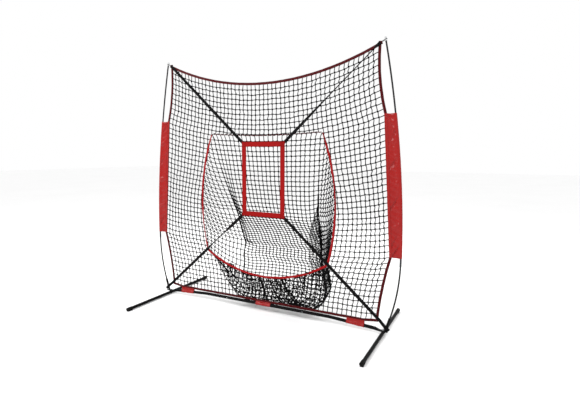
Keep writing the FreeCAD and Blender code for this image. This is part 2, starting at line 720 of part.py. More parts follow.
def straps():
    tuck = ZONE_BAND / 2
    zone_x = ZONE_WIDTH / 2 - tuck
    start = (zone_x, ZONE_TOP - tuck)
    run = math.dist(start, EYELET)
    share = (run - STRAP_END_GAP) / run
    end = [a + (b - a) * share for a, b in zip(start, EYELET)]
    save_pair(strap_plate(start, end), "strap_upper")

    # the lower strap is looped round the pole socket and ends in a short tail
    middle = STRAP_RING_START + STRAP_WIDTH / 2
    anchor, _ = pole_point(middle)
    start = (zone_x, ZONE_BOTTOM + tuck)
    slope = (anchor.z - start[1]) / (anchor.x - start[0])
    tail_x = anchor.x + STRAP_TAIL
    tail = (tail_x, anchor.z + slope * (tail_x - anchor.x))
    ring = rod(STRAP_RING_R, STRAP_RING_START, STRAP_RING_START + STRAP_WIDTH)
    lower = joined([strap_plate(start, tail), ring]).cut(rod(STRAP_RING_BORE_R, 0, SOCKET_LENGTH))
    save_pair(largest(lower), "strap_lower")


base_bar()
snap_buttons()
feet()
pivots()
poles()
net_screen()
pole_sleeves()
bar_tabs()
catch_pocket()
strike_zone()
straps()
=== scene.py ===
import math

import bmesh
import bpy
import numpy as np
from mathutils import Matrix, Vector


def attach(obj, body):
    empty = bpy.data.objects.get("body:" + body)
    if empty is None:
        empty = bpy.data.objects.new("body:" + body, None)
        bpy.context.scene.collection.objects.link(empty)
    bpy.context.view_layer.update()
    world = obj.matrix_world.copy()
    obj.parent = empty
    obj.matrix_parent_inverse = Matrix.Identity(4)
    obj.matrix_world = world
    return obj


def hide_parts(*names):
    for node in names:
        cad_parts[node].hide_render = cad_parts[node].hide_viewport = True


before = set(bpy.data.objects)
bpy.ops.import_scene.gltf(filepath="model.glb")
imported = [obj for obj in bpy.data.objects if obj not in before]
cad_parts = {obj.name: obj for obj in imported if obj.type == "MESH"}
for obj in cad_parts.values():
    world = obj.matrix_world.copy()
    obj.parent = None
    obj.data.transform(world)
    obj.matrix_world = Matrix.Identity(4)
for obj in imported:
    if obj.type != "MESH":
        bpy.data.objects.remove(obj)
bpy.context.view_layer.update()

BODY = "base_frame"
rng = np.random.default_rng(21)      # scatters the knots of the screen

# The net's outline and the mouth's outline pass through these points, in metres (x, z).
CORNER_TOP = (0.948, 2.105)
TOP_SAG = (0.0, 1.893)
SIDE_UPPER = (0.951, 1.880)
SLEEVE_TOP = (1.000, 1.611)
SLEEVE_BOTTOM = (1.066, 0.590)
SIDE_LOWER = (1.010, 0.340)
CORNER_BOTTOM = (0.979, 0.096)
HEM_CORNER = (0.870, 0.082)
MOUTH_TOP = (0.505, 1.482)
MOUTH_TOP_SAG = (0.0, 1.464)
MOUTH_SIDE = (0.615, 0.870)
MOUTH_BOTTOM = (0.561, 0.478)
MOUTH_LIP = (0.0, 0.312)

# The pole's centreline: straight foot, then two arcs tangent at the bow.
POLE_FOOT = (1.036, 0.040)
POLE_LEAN = math.radians(16.5)
POLE_STRAIGHT = 0.110
BOW_X = 1.128
TIP = (0.972, 2.130)

CORD_R = 0.0033
COLUMNS = 50                 # meshes of the screen, across and up
ROWS = 45
MESH = 0.040                 # from knot to knot in the pocket's sides
NET_BULGE = 0.022            # how far the screen hangs back at its middle
KNOT_STRAY = 0.0014          # how far its knots stray from their even places, in its plane
DEPTH_STRAY = 0.0016         # and across it
CORD_SLACK = 0.0009          # how far a cord between two knots strays from straight
RIM_GAP = 0.018              # from the net's edge line to its outermost knots
MOUTH_BELLY = 0.35           # how much of the net's belly the mouth's edge follows


# --- small geometry helpers ---------------------------------------------------------------

def unit(a):
    """Vectors of one unit's length in the directions given."""
    return a / np.maximum(np.linalg.norm(a, axis=-1, keepdims=True), 1e-12)


def smooth(t):
    t = np.clip(t, 0, 1)
    return t * t * (3 - 2 * t)


def flipped(p):
    return (-p[0], p[1])


def arc(p, through, q, n):
    """n points on the circle through three points of a plane."""
    (x1, y1), (x2, y2), (x3, y3) = p, through, q
    a = np.array([[x2 - x1, y2 - y1], [x3 - x1, y3 - y1]])
    b = 0.5 * np.array([x2**2 - x1**2 + y2**2 - y1**2, x3**2 - x1**2 + y3**2 - y1**2])
    cx, cy = np.linalg.solve(a, b)
    radius = math.hypot(x1 - cx, y1 - cy)
    turns = np.unwrap([math.atan2(y - cy, x - cx) for x, y in (p, through, q)])
    t = np.linspace(turns[0], turns[2], n)
    return np.stack([cx + radius * np.cos(t), cy + radius * np.sin(t)], -1)


def run(p, q, n):
    """n points on a straight line."""
    return np.linspace(p, q, n)


def chain(*parts):
    """Joins paths end to end."""
    return np.concatenate([parts[0]] + [p[1:] for p in parts[1:]])


def lengths(path):
    """The length along a path at each of its points."""
    return np.concatenate([[0], np.cumsum(np.linalg.norm(np.diff(path, axis=0), axis=1))])


def resample(path, stations):
    """Points at given lengths along a path."""
    s = lengths(path)
    return np.stack([np.interp(stations, s, path[:, k]) for k in range(path.shape[1])], -1)


def evenly(path, n):
    return resample(path, np.linspace(0, lengths(path)[-1], n))


def border_of(grid):
    """Which points of a grid lie on its border."""
    border = np.ones(grid.shape[:2], bool)
    border[1:-1, 1:-1] = False
    return border


def filled(first, last, left, right):
    """A grid of points between four border curves: its first and last row and its outer columns."""
    u = np.linspace(0, 1, len(first))[None, :, None]
    v = np.linspace(0, 1, len(left))[:, None, None]
    at = (1 - v) * first + v * last + (1 - u) * left[:, None] + u * right[:, None]
    at -= (1 - u) * (1 - v) * first[0] + u * (1 - v) * first[-1]
    at -= (1 - u) * v * last[0] + u * v * last[-1]
    return at


def wave(s, period, phase):
    return np.sin(2 * math.pi * (s / period + phase))


def wander(s, size, periods, seed):
    """Smooth irregular wandering, the same every time."""
    r = np.random.default_rng(seed)
    total = sum(wave(s, p * r.uniform(0.8, 1.2), r.random()) * r.uniform(0.5, 1) for p in periods)
    return size * total / len(periods)


def inside(points, polygon):
    """Which points (x, z) lie inside a closed polygon."""
    x, z = points[..., 0], points[..., 1]
    result = np.zeros(x.shape, bool)
    for (x1, z1), (x2, z2) in zip(polygon, np.roll(polygon, -1, axis=0)):
        crosses = (z1 > z) != (z2 > z)
        at = x1 + (z - z1) * (x2 - x1) / (z2 - z1 + 1e-12)
        result ^= crosses & (x < at)
    return result


def right_of(path):
    """Unit normals to the right of a path in the XZ plane."""
    d = unit(np.gradient(path, axis=0))
    return np.stack([d[:, 1], -d[:, 0]], -1)


def in_depth(path, y=0.0):
    """(x, z) points as (x, y, z)."""
    return np.stack([path[:, 0], np.broadcast_to(y, len(path)), path[:, 1]], -1)


FRONT = np.array((0.0, -1.0, 0.0))
BACK = -FRONT
HALVES = ["net_screen_left_half", "net_screen_right_half"]


def side_name(side):
    return "right" if side > 0 else "left"


def rolled(a, b, turn):
    """Offsets (a, b) turned by an angle at each station."""
    c, s = np.cos(turn)[:, None], np.sin(turn)[:, None]
    return a * c - b * s, a * s + b * c


class Shape:
    """Gathers the points, four-sided faces and weave coordinates of one piece."""

    def __init__(self):
        self.points, self.faces, self.weave, self.count = [], [], [], 0

    def add(self, points, faces, weave):
        self.points.append(points)
        self.faces.append(faces + self.count)
        self.weave.append(weave)
        self.count += len(points)

    def build(self, name, material, slot, stands_for=(), body=BODY):
        points, faces = np.concatenate(self.points), np.concatenate(self.faces)
        mesh = bpy.data.meshes.new(name)
        mesh.from_pydata(points.tolist(), [], faces.tolist())
        layer = mesh.uv_layers.new(name="weave")
        layer.uv.foreach_set("vector", np.concatenate(self.weave).astype(np.float32).ravel())
        mesh.polygons.foreach_set("use_smooth", np.ones(len(faces), bool))
        editable = bmesh.new()
        editable.from_mesh(mesh)
        bmesh.ops.recalc_face_normals(editable, faces=editable.faces)
        editable.to_mesh(mesh)
        editable.free()
        mesh.materials.append(material)
        piece = add_object(name, mesh)
        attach(piece, body)
        if stands_for:
            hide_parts(*stands_for)
        return piece


def add_object(name, data):
    piece = bpy.data.objects.new(name, data)
    bpy.context.scene.collection.objects.link(piece)
    return piece


def ring_faces(stations, around):
    """Faces of a tube of rings, and the strips that close its two ends."""
    i, k = np.meshgrid(np.arange(stations - 1), np.arange(around), indexing="ij")
    k2 = (k + 1) % around
    near, far = i * around, (i + 1) * around
    walls = np.stack([near + k, near + k2, far + k2, far + k], -1).reshape(-1, 4)
    j = np.arange(around // 2 - 1)
    cap = np.stack([j, j + 1, around - 2 - j, around - 1 - j], -1)
    return walls, np.concatenate([cap, cap[:, ::-1] + (stations - 1) * around])


def quads(n, m):
    """Faces of a grid of n by m points."""
    i, k = np.meshgrid(np.arange(n - 1), np.arange(m - 1), indexing="ij")
    a = (i * m + k).reshape(-1)
    return np.stack([a, a + m, a + m + 1, a + 1], -1)


def facing(grid):
    """Unit normals of a grid of points."""
    return unit(np.cross(np.gradient(grid, axis=0), np.gradient(grid, axis=1)))


def cloth(shape, grid, thickness):
    """Adds cloth of a thickness whose middle surface is a grid of points."""
    n, m = grid.shape[:2]
    normal = facing(grid)
    points = np.concatenate([(grid + normal * thickness / 2), (grid - normal * thickness / 2)])
    face = quads(n, m)
    rim = np.concatenate([
        np.arange(m), np.arange(1, n) * m + m - 1, (n - 1) * m + np.arange(m - 2, -1, -1),
        np.arange(n - 2, 0, -1) * m,
    ])
    after = np.roll(rim, -1)
    edge = np.stack([rim, after, after + n * m, rim + n * m], -1)
    faces = np.concatenate([face, face[:, ::-1] + n * m, edge])
    spacing = [np.linalg.norm(np.diff(grid, axis=axis), axis=2).mean(1 - axis) for axis in (0, 1)]
    along_and_across = [np.concatenate([[0], np.cumsum(steps)]) for steps in spacing]
    place = np.stack(np.meshgrid(*along_and_across, indexing="ij"), -1).reshape(-1, 2)
    place = np.concatenate([place, place])
    shape.add(points.reshape(-1, 3), faces, place[faces])
    return normal


def tubes(shape, paths, radius, sides=6):
    """Adds many round cords at once: paths is (cords, points, 3)."""
    cords, count = paths.shape[:2]
    along = unit(np.gradient(paths, axis=1))
    mean = np.abs(unit(paths[:, -1] - paths[:, 0]) if count < 6 else along.mean(1))
    helper = np.eye(3)[np.argmin(mean, axis=1)][:, None]
    side = unit(np.cross(np.broadcast_to(helper, along.shape), along))
    up = np.cross(along, side)
    turn = 2 * math.pi * np.arange(sides) / sides
    ring = np.cos(turn)[:, None] * side[:, :, None] + np.sin(turn)[:, None] * up[:, :, None]
    points = (paths[:, :, None] + radius * ring).reshape(-1, 3)
    walls, caps = ring_faces(count, sides)
    faces = np.concatenate([walls, caps])
    first = np.arange(cords) * count * sides
    s = np.cumsum(np.linalg.norm(np.diff(paths, axis=1, prepend=paths[:, :1]), axis=2), 1)
    i, k = walls[:, 0] // sides, walls[:, 0] % sides
    weave = np.zeros((cords, len(faces), 4, 2))
    for corner, (di, dk) in enumerate(((0, 0), (0, 1), (1, 1), (1, 0))):
        weave[:, : len(walls), corner, 0] = s[:, i + di]
        weave[:, : len(walls), corner, 1] = (k + dk) / sides
    shape.add(points, (faces[None] + first[:, None, None]).reshape(-1, 4), weave.reshape(-1, 4, 2))


def scatter(shape, template, origins, axes):
    """Adds copies of a template at many places: axes is (copies, 3, 3), rows the local x, y, z."""
    points, faces = np.concatenate(template.points), np.concatenate(template.faces)
    weave = np.concatenate(template.weave)
    placed = origins[:, None] + np.einsum("tk,nkj->ntj", points, axes)
    first = np.arange(len(origins)) * len(points)
    all_faces = (faces[None] + first[:, None, None]).reshape(-1, 4)
    shape.add(placed.reshape(-1, 3), all_faces, np.tile(weave, (len(origins), 1, 1)))


# --- materials ----------------------------------------------------------------------------

def linear(r, g, b):
    """A colour given as 0-255 screen values."""
    shares = (c / 255 for c in (r, g, b))
    return tuple(((c + 0.055) / 1.055) ** 2.4 if c > 10 / 255 else c / 12.92 for c in shares) + (1.0,)


class Look:
    """A procedural material, built node by node."""

    def __init__(self, name, roughness=0.5, metallic=0.0, sheen=0.0, coat=0.0, gloss=0.5):
        self.material = bpy.data.materials.new(name)
        self.material.use_nodes = True
        self.tree = self.material.node_tree
        self.tree.nodes.clear()
        self.shader = self.add("ShaderNodeBsdfPrincipled", {
            "Roughness": roughness, "Metallic": metallic, "Sheen Weight": sheen, "Coat Weight": coat,
            "Specular IOR Level": gloss,
        })
        self.add("ShaderNodeOutputMaterial", {0: self.shader.outputs[0]})

    def feed(self, node, inputs):
        """Gives a node's inputs, by name or number, a constant or another node's output."""
        for key, value in inputs.items():
            if isinstance(value, bpy.types.NodeSocket):
                self.tree.links.new(value, node.inputs[key])
            else:
                node.inputs[key].default_value = value

    def add(self, kind, inputs, **settings):
        node = self.tree.nodes.new(kind)
        for key, value in settings.items():
            setattr(node, key, value)
        self.feed(node, inputs)
        return node

    def place(self):
        return self.add("ShaderNodeTexCoord", {}).outputs["Object"]

    def weave_place(self):
        return self.add("ShaderNodeUVMap", {}, uv_map="weave").outputs[0]

    def along_and_across(self):
        """The weave's two coordinates, in metres along and across."""
        return self.add("ShaderNodeSeparateXYZ", {0: self.weave_place()}).outputs[:2]

    def stretched(self, source, scale):
        return self.add("ShaderNodeMapping", {"Vector": source, "Scale": scale}).outputs[0]

    def noise(self, place, scale, detail=3.0, rough=0.5):
        inputs = {"Vector": place, "Scale": scale, "Detail": detail, "Roughness": rough}
        return self.add("ShaderNodeTexNoise", inputs).outputs["Fac"]

    def stripes(self, place, scale, direction):
        inputs = {"Vector": place, "Scale": scale, "Distortion": 0.0}
        node = self.add("ShaderNodeTexWave", inputs, wave_type="BANDS", bands_direction=direction)
        return node.outputs["Fac"]

    def math(self, operation, a, b=0.0):
        return self.add("ShaderNodeMath", {0: a, 1: b}, operation=operation).outputs[0]

    def sum(self, a, b, share=1.0):
        """a with a share of b."""
        return self.math("ADD", a, b if share == 1.0 else self.math("MULTIPLY", b, share))

    def between(self, value, low, high, out_low=0.0, out_high=1.0):
        """Carries the range low to high over to another range."""
        inputs = dict(enumerate((value, low, high, out_low, out_high)))
        return self.add("ShaderNodeMapRange", inputs).outputs[0]

    def colour(self, value, stops):
        """Colour ramp: stops are (position, colour)."""
        node = self.add("ShaderNodeValToRGB", {0: value})
        for element, (position, colour) in zip(node.color_ramp.elements, stops):
            element.position, element.color = position, colour
        return node.outputs[0]

    def mix(self, factor, a, b):
        return self.add("ShaderNodeMix", {0: factor, 6: a, 7: b}, data_type="RGBA").outputs[2]

    def finish(self, base, height, distance, strength, roughness=None):
        """Joins the colour, the bump and any varying roughness to the shader."""
        bump = {"Strength": strength, "Distance": distance, "Height": height}
        self.feed(self.shader, {"Base Color": base, "Normal": self.add("ShaderNodeBump", bump).outputs[0]})
        if roughness is not None:
            self.feed(self.shader, {"Roughness": roughness})
        return self.material


def darker(colour, share):
    return tuple(c * share for c in colour[:3]) + (1.0,)


def powder_coat():
    """Black powder coat: orange peel, dust and worn, scuffed high spots."""
    look = Look("powder_coat", roughness=0.5, gloss=0.06)
    place = look.place()
    dust = look.noise(place, 9.0, 5.0)
    scuff = look.between(look.noise(look.stretched(place, (60, 60, 14)), 3.0, 6.0, 0.7), 0.66, 0.74)
    base = look.colour(dust, [(0.3, linear(5, 5, 6)), (0.7, linear(13, 13, 14))])
    return look.finish(look.mix(scuff, base, linear(44, 44, 45)), look.noise(place, 900.0, 2.0), 0.0004, 0.35,
                       look.between(dust, 0.3, 0.7, 0.42, 0.6))


def bare_metal(name, colour, roughness):
    look = Look(name, roughness=roughness, metallic=1.0)
    place = look.place()
    spots = look.noise(place, 160.0, 6.0, 0.65)
    base = look.colour(spots, [(0.3, darker(colour, 0.6)), (0.65, colour)])
    return look.finish(base, look.noise(place, 700.0, 3.0), 0.0002, 0.4,
                       look.between(spots, 0.3, 0.7, roughness + 0.15, roughness))


def rubber():
    look = Look("rubber", roughness=0.75, gloss=0.08)
    place = look.place()
    dust = look.noise(place, 45.0, 6.0, 0.6)
    base = look.colour(dust, [(0.35, linear(9, 9, 9)), (0.7, linear(27, 27, 26))])
    return look.finish(base, look.noise(place, 1400.0, 3.0), 0.0003, 0.6)


def fibreglass():
    """Pultruded rod: fine lengthways fibres under a dark, slightly glossy resin."""
    look = Look("fibreglass", roughness=0.3, coat=0.02, gloss=0.16)
    place = look.place()
    fibres = look.noise(look.stretched(place, (900, 900, 9)), 1.0, 5.0, 0.7)
    cloud = look.noise(place, 6.0, 4.0)
    base = look.colour(fibres, [(0.35, linear(7, 7, 8)), (0.7, linear(19, 19, 20))])
    base = look.mix(look.between(cloud, 0.4, 0.8, 0.0, 0.35), base, linear(38, 38, 40))
    return look.finish(base, fibres, 0.0002, 0.4, look.between(fibres, 0.3, 0.7, 0.28, 0.45))


def moulded_plastic(name, dark, light):
    look = Look(name, roughness=0.45)
    place = look.place()
    base = look.colour(look.noise(place, 60.0, 4.0), [(0.3, dark), (0.7, light)])
    return look.finish(base, look.noise(place, 1800.0, 2.0), 0.0002, 0.5)


def twisted_twine(name, dark, light, turns):
    """Laid twine: three strands that wind round the cord, with fuzz, lighter dusty patches, and painted shade
    darkening the lays between the strands.
    """
    look = Look(name, roughness=0.66, gloss=0.08)
    along, round_cord = look.along_and_across()
    lay = look.math("ADD", look.math("MULTIPLY", along, turns), round_cord)
    strand = look.math("ABSOLUTE", look.math("SINE", look.math("MULTIPLY", lay, 3 * math.pi)))
    place = look.place()
    height = look.sum(strand, look.noise(place, 2600.0, 3.0, 0.7), 0.35)
    # painted shade: the lays between the strands are coloured darker than the strands' crowns
    base = look.colour(strand, [(0.0, darker(dark, 0.45)), (0.7, dark)])
    base = look.mix(look.between(look.noise(place, 11.0, 4.0), 0.45, 0.75, 0.0, 0.6), base, light)
    return look.finish(base, height, 0.0006, 0.8)


def plain_cloth(name, dark, light, pitch, sheen=0.05, roughness=0.5, gloss=0.3, relief=0.6):
    """Coated plain weave: threads over and under, slubs, a coated sheen and faint soiling; the weave's
    hollows are painted darker, painted shade.
    """
    look = Look(name, roughness=roughness, sheen=sheen, gloss=gloss)
    weave = look.weave_place()
    warp, weft = (look.stripes(weave, math.pi / pitch / 10, way) for way in "XY")
    slub = look.noise(look.stretched(weave, (90, 1400, 1)), 1.0, 3.0, 0.6)
    cloud = look.noise(look.place(), 7.0, 5.0, 0.6)
    thread = look.math("MULTIPLY", warp, weft)
    tone = look.math("ADD", look.math("MULTIPLY", thread, 0.35), look.math("MULTIPLY", slub, 0.65))
    # the tone is partly the slubs' own unevenness and partly painted shade, darker in the weave's hollows
    base = look.colour(tone, [(0.25, dark), (0.7, light)])
    base = look.mix(look.between(cloud, 0.42, 0.8, 0.0, 0.25), base, darker(dark, 0.62))
    return look.finish(base, look.sum(thread, slub, 0.5), 0.0004, relief,
                       look.between(cloud, 0.3, 0.7, roughness - 0.08, roughness + 0.1))


def webbing(name, dark, light, rib, gloss):
    """Woven webbing: ribs across the width broken up by lengthways herringbone, with painted shade darkening
    the grooves between the ribs.
    """
    look = Look(name, roughness=0.6, gloss=gloss)
    along, across = look.along_and_across()
    zigzag = look.math("PINGPONG", across, rib * 2)
    ribs = look.math("SINE", look.math("MULTIPLY", look.math("ADD", along, zigzag), 2 * math.pi / rib))
    cord = look.math("SINE", look.math("MULTIPLY", across, 2 * math.pi / (rib * 2)))
    height = look.between(look.sum(ribs, cord, 0.5), -1.5, 1.5)
    place = look.place()
    cloud = look.noise(place, 9.0, 5.0, 0.6)
    # painted shade: the colour follows the weave's height, darker in the grooves
    base = look.colour(height, [(0.15, dark), (0.75, light)])
    base = look.mix(look.between(cloud, 0.45, 0.8, 0.0, 0.3), base, darker(dark, 0.6))
    return look.finish(base, look.sum(height, look.noise(place, 1900.0, 2.0), 0.3), 0.0005, 0.7)


POWDER = powder_coat()
ZINC = bare_metal("zinc_steel", linear(176, 178, 180), 0.32)
SPRING = bare_metal("spring_steel", linear(120, 122, 128), 0.28)
FERRULE = bare_metal("ferrule_steel", linear(70, 71, 74), 0.4)
RUBBER = rubber()
FIBREGLASS = fibreglass()
CAP = moulded_plastic("cap_plastic", linear(150, 151, 152), linear(190, 191, 192))
ELASTIC = twisted_twine("elastic_cord", linear(14, 14, 15), linear(44, 44, 46), 260.0)
TWINE = twisted_twine("net_twine", linear(5, 5, 6), linear(14, 14, 15), 160.0)
# the net's binding tape; on the mouth's top roll it is painted shade in place of the trim tape
RED_TAPE = plain_cloth("red_binding", linear(58, 3, 7), linear(78, 5, 10), 0.0011, gloss=0.06)
TRIM_TAPE = plain_cloth("trim_tape", linear(132, 9, 13), linear(154, 16, 19), 0.0011, gloss=0.08)
RED_CLOTH = plain_cloth("red_cloth", linear(129, 4, 1), linear(156, 8, 3), 0.0013, sheen=0.0,
                        roughness=0.27, gloss=0.28, relief=0.12)
RED_WEB = webbing("red_webbing", linear(122, 6, 6), linear(148, 12, 10), 0.0021, gloss=0.08)
BLACK_WEB = webbing("black_webbing", linear(3, 3, 4), linear(10, 10, 11), 0.0019, gloss=0.06)
RED_THREAD = twisted_twine("red_thread", linear(110, 14, 16), linear(140, 28, 26), 900.0)
BLACK_THREAD = twisted_twine("black_thread", linear(8, 8, 9), linear(24, 24, 25), 900.0)

NODE_LOOKS = {
    "base_bar": POWDER, "foot_tube": POWDER, "pole_socket": POWDER, "foot_cap": RUBBER,
    "pivot_bolt": ZINC, "pivot_nut": ZINC, "pivot_washer": ZINC, "snap_button": ZINC,
    "button_spring": SPRING, "pole_lower": FIBREGLASS, "pole_middle": FIBREGLASS,
    "pole_upper": FIBREGLASS, "pole_ferrules": FERRULE, "shock_cord": ELASTIC,
    "pole_cap": CAP, "corner_loop": ELASTIC,
}
for name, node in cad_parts.items():
    for start, material in NODE_LOOKS.items():
        if name.startswith(start):
            node.data.materials.clear()
            node.data.materials.append(material)


# --- outlines of the net ------------------------------------------------------------------

def outline_curves():
    """Top, right, bottom and left edges: top and bottom run left to right, the sides upwards."""
    top = arc(flipped(CORNER_TOP), TOP_SAG, CORNER_TOP, 201)
    right = chain(
        arc(CORNER_BOTTOM, SIDE_LOWER, SLEEVE_BOTTOM, 41),
        run(SLEEVE_BOTTOM, SLEEVE_TOP, 61),
        arc(SLEEVE_TOP, SIDE_UPPER, CORNER_TOP, 41),
    )
    bottom = chain(
        run(flipped(CORNER_BOTTOM), flipped(HEM_CORNER), 9),
        run(flipped(HEM_CORNER), HEM_CORNER, 121),
        run(HEM_CORNER, CORNER_BOTTOM, 9),
    )
    left = right * (-1, 1)
    return top, right, bottom, left


def mouth_curves():
    """Top (left to right), right (downwards), lip (right to left), left (upwards)."""
    top = arc(flipped(MOUTH_TOP), MOUTH_TOP_SAG, MOUTH_TOP, 81)
    right = arc(MOUTH_TOP, MOUTH_SIDE, MOUTH_BOTTOM, 81)
    lip = arc(MOUTH_BOTTOM, MOUTH_LIP, flipped(MOUTH_BOTTOM), 91)
    left = (right * (-1, 1))[::-1]
    return top, right, lip, left


TOP, RIGHT, BOTTOM, LEFT = outline_curves()
MOUTH_EDGES = mouth_curves()


def belly(x, z):
    """How far the slack net stands back from the flat plane."""
    across = 1 - np.clip(np.abs(x) / 1.02, 0, 1) ** 2.4
    up = np.clip((z - 0.09) / (1.95 - 0.09), 0, 1)
    return NET_BULGE * across * np.sin(math.pi * up) ** 0.7


def rim_belly(flat):
    """How far the mouth's edge stands back at points (x, z)."""
    return belly(flat[..., 0], flat[..., 1]) * MOUTH_BELLY


def screen_points():
    """Where the main net's knots are, rows from the hem up, columns from left to right."""
    def inset(edge, inward, corner):
        moved = edge + inward * RIM_GAP
        x = edge[:, 0] * (1 - RIM_GAP / corner[0])
        return evenly(np.stack([x, np.interp(x, moved[:, 0], moved[:, 1])], -1), COLUMNS + 1)

    top = inset(TOP, right_of(TOP), CORNER_TOP)
    bottom = inset(BOTTOM, -right_of(BOTTOM), CORNER_BOTTOM)
    right = evenly(RIGHT - right_of(RIGHT) * RIM_GAP, ROWS + 1)
    share = np.linspace(0, 1, ROWS + 1)[:, None]
    right = right + (1 - share) * (bottom[-1] - right[0]) + share * (top[-1] - right[-1])
    flat = filled(bottom, top, right * (-1, 1), right)
    # the mouth draws the columns beside it outwards
    pull = 0.072 * np.exp(-(((flat[..., 1] - 0.85) / 0.36) ** 2))
    across = np.sin(2 * math.pi * np.linspace(0, 1, COLUMNS + 1))
    flat[..., 0] -= pull * across * np.sin(math.pi * share) ** 0.3
    return flat


def hitch():
    """The wrap of one twine round the other that makes a net's knot."""
    path = 0.001 * np.array([
        (0.3, -2.6, 9.5), (1.6, -4.6, 3.4), (3.4, -3.0, -3.2), (2.2, 3.2, -4.4), (-1.6, 4.8, 0.8),
        (-4.0, 0.4, 4.6), (-3.2, -4.8, 0.6), (-0.8, -3.4, -5.4), (0.0, -0.6, -9.5),
    ])
    template = Shape()
    tubes(template, path[None], CORD_R)
    return template, path[0], path[-1]


def mirror_template(template):
    """The same shape with its left and right exchanged."""
    other = Shape()
    for points, faces, weave in zip(template.points, template.faces, template.weave):
        other.add(points * (-1, 1, 1), faces[:, ::-1], weave[:, ::-1])
    return other


HITCH, HITCH_TOP, HITCH_FOOT = hitch()
HITCHES = (HITCH, mirror_template(HITCH))


def net_cords(points, knots, weft, warp, parts, seed):
    """Builds a knotted net. points is (rows, columns, 3); knots says where a knot is tied;
    weft and warp say which cords there are to the next column or row, as the (start, end)
    shares of the way that they cover; parts gives each cell its piece."""
    r = np.random.default_rng(seed)
    x_axis = unit(np.gradient(points, axis=1))
    z_axis = np.gradient(points, axis=0)
    y_axis = unit(np.cross(z_axis, x_axis))
    axes = np.stack([x_axis, y_axis, np.cross(x_axis, y_axis)], -2)
    handed = r.random(points.shape[:2]) < 0.5
    sign = np.where(handed, -1.0, 1.0)[..., None]
    up, down = (x_axis * x * sign + y_axis * y + axes[..., 2, :] * z for x, y, z in (HITCH_TOP, HITCH_FOOT))

    def string_up(shape, start, end):
        """Cords from many starts to their ends, each a little slack its own way."""
        t = np.linspace(0, 1, 4)[None, :, None]
        sag = r.normal(0, CORD_SLACK, (len(start), 1, 3)) * 4 * t * (1 - t)
        tubes(shape, start[:, None] + (end - start)[:, None] * t + sag, CORD_R)

    def spans(cords, here, step):
        """The two ends, the shares covered and the places of the cords one step along."""
        at = np.nonzero(cords[2] & here)
        beyond = (at[0] + step[0], at[1] + step[1])
        lo, hi = cords[0][at][:, None], cords[1][at][:, None]
        way = points[beyond] - points[at]
        return points[at] + way * lo, points[at] + way * hi, lo[:, 0], hi[:, 0], at, beyond

    shapes = {}
    for part in np.unique(parts):
        shape = shapes[part] = Shape()
        here = parts == part
        for side, template in enumerate(HITCHES):
            pick = knots & here & (handed == bool(side))
            if pick.any():
                scatter(shape, template, points[pick], axes[pick])
        start, end, *_ = spans(weft, here[:, :-1], (0, 1))
        string_up(shape, start, end)
        start, end, lo, hi, at, beyond = spans(warp, here[:-1], (1, 0))
        tied_start, tied_end = (lo == 0) & knots[at], (hi == 1) & knots[beyond]
        start[tied_start] += up[at][tied_start]
        end[tied_end] += down[beyond][tied_end]
        string_up(shape, start, end)
    return shapes


def net_screen():
    """The main net, its cords cut back round the mouth and at the bindings."""
    flat = screen_points()
    flat[1:-1, 1:-1] += rng.normal(0, KNOT_STRAY, flat[1:-1, 1:-1].shape)
    # how far the mouth's top, right, lip and left cut the net back
    reaches = (0.011, 0.0115, 0.0155, 0.0115)
    rim = chain(*(edge - right_of(edge) * reach for edge, reach in zip(MOUTH_EDGES, reaches)))[:-1]
    points = np.stack([flat[..., 0], belly(flat[..., 0], flat[..., 1]), flat[..., 1]], -1)
    points[1:-1, 1:-1, 1] += rng.normal(0, DEPTH_STRAY, points[1:-1, 1:-1, 1].shape)
    gone = inside(flat, rim)
    knots = ~gone & ~border_of(gone)

    def cut(a, b, gone_a, gone_b):
        """Start and end shares of the cords between neighbours, cut where the mouth is."""
        shares = np.linspace(0, 1, 21)
        blocked = np.stack([inside(a + (b - a) * s, rim) for s in shares])
        first_in = shares[np.argmax(blocked, 0)]
        last_in = shares[len(shares) - 1 - np.argmax(blocked[::-1], 0)]
        lo, hi = np.where(gone_a, last_in, 0.0), np.where(gone_b, first_in, 1.0)
        return lo, hi, ~(gone_a & gone_b) & (hi - lo > 0.02)

    weft = cut(flat[:, :-1], flat[:, 1:], gone[:, :-1], gone[:, 1:])
    warp = cut(flat[:-1], flat[1:], gone[:-1], gone[1:])
    weft[2][0] = weft[2][-1] = False
    warp[2][:, 0] = warp[2][:, -1] = False
    parts = np.zeros(gone.shape, int)
    parts[:, COLUMNS // 2:] = 1
    for shape, name in zip(net_cords(points, knots, weft, warp, parts, 5).values(), HALVES):
        shape.build(name, TWINE, "net_twine", ["net_screen"])


net_screen()


# --- bindings, trims and stitching --------------------------------------------------------

TAPE_T = 0.0009              # thickness of folded tape and of the sleeves' cloth
BINDING_REACH = 0.0195       # how far the folded binding reaches onto the net
TRIM_REACH = 0.0088          # half the width of the folded trim round the mouth
TRIM_FOLD = 0.0019           # half the depth of that fold
TRIM_INSET = 0.009           # from the mouth's edge line out to the middle of its trim
LASHING_R = 0.0062           # of the lashing round the rolled trim
STITCH_LIFT = 0.0005         # from a cloth's middle surface up to its stitches
# How far each point of a tape's cross-section follows its puckers.
PUCKERED = np.array([1, 0.2, -0.6, -0.5, 0, 0, 0, 0.5, 0.6, -0.2, -1])


def stitches(shape, line, normal, pitch=0.006, length=0.0043, radius=0.00055):
    """A row of raised lockstitches along a line on a cloth's surface."""
    s = lengths(line)
    normal = np.broadcast_to(normal, line.shape)
    middle = np.arange(pitch, s[-1] - pitch / 2, pitch)
    if len(middle) < 2:
        return
    paths = np.stack([resample(line, middle + step * length / 2) for step in (-1, 0, 1)], 1)
    lift = np.stack([resample(normal, middle)] * 3, 1)
    height = np.array([0.0, radius * 0.9, 0.0])[None, :, None]
    tubes(shape, paths + unit(lift) * height, radius, 4)


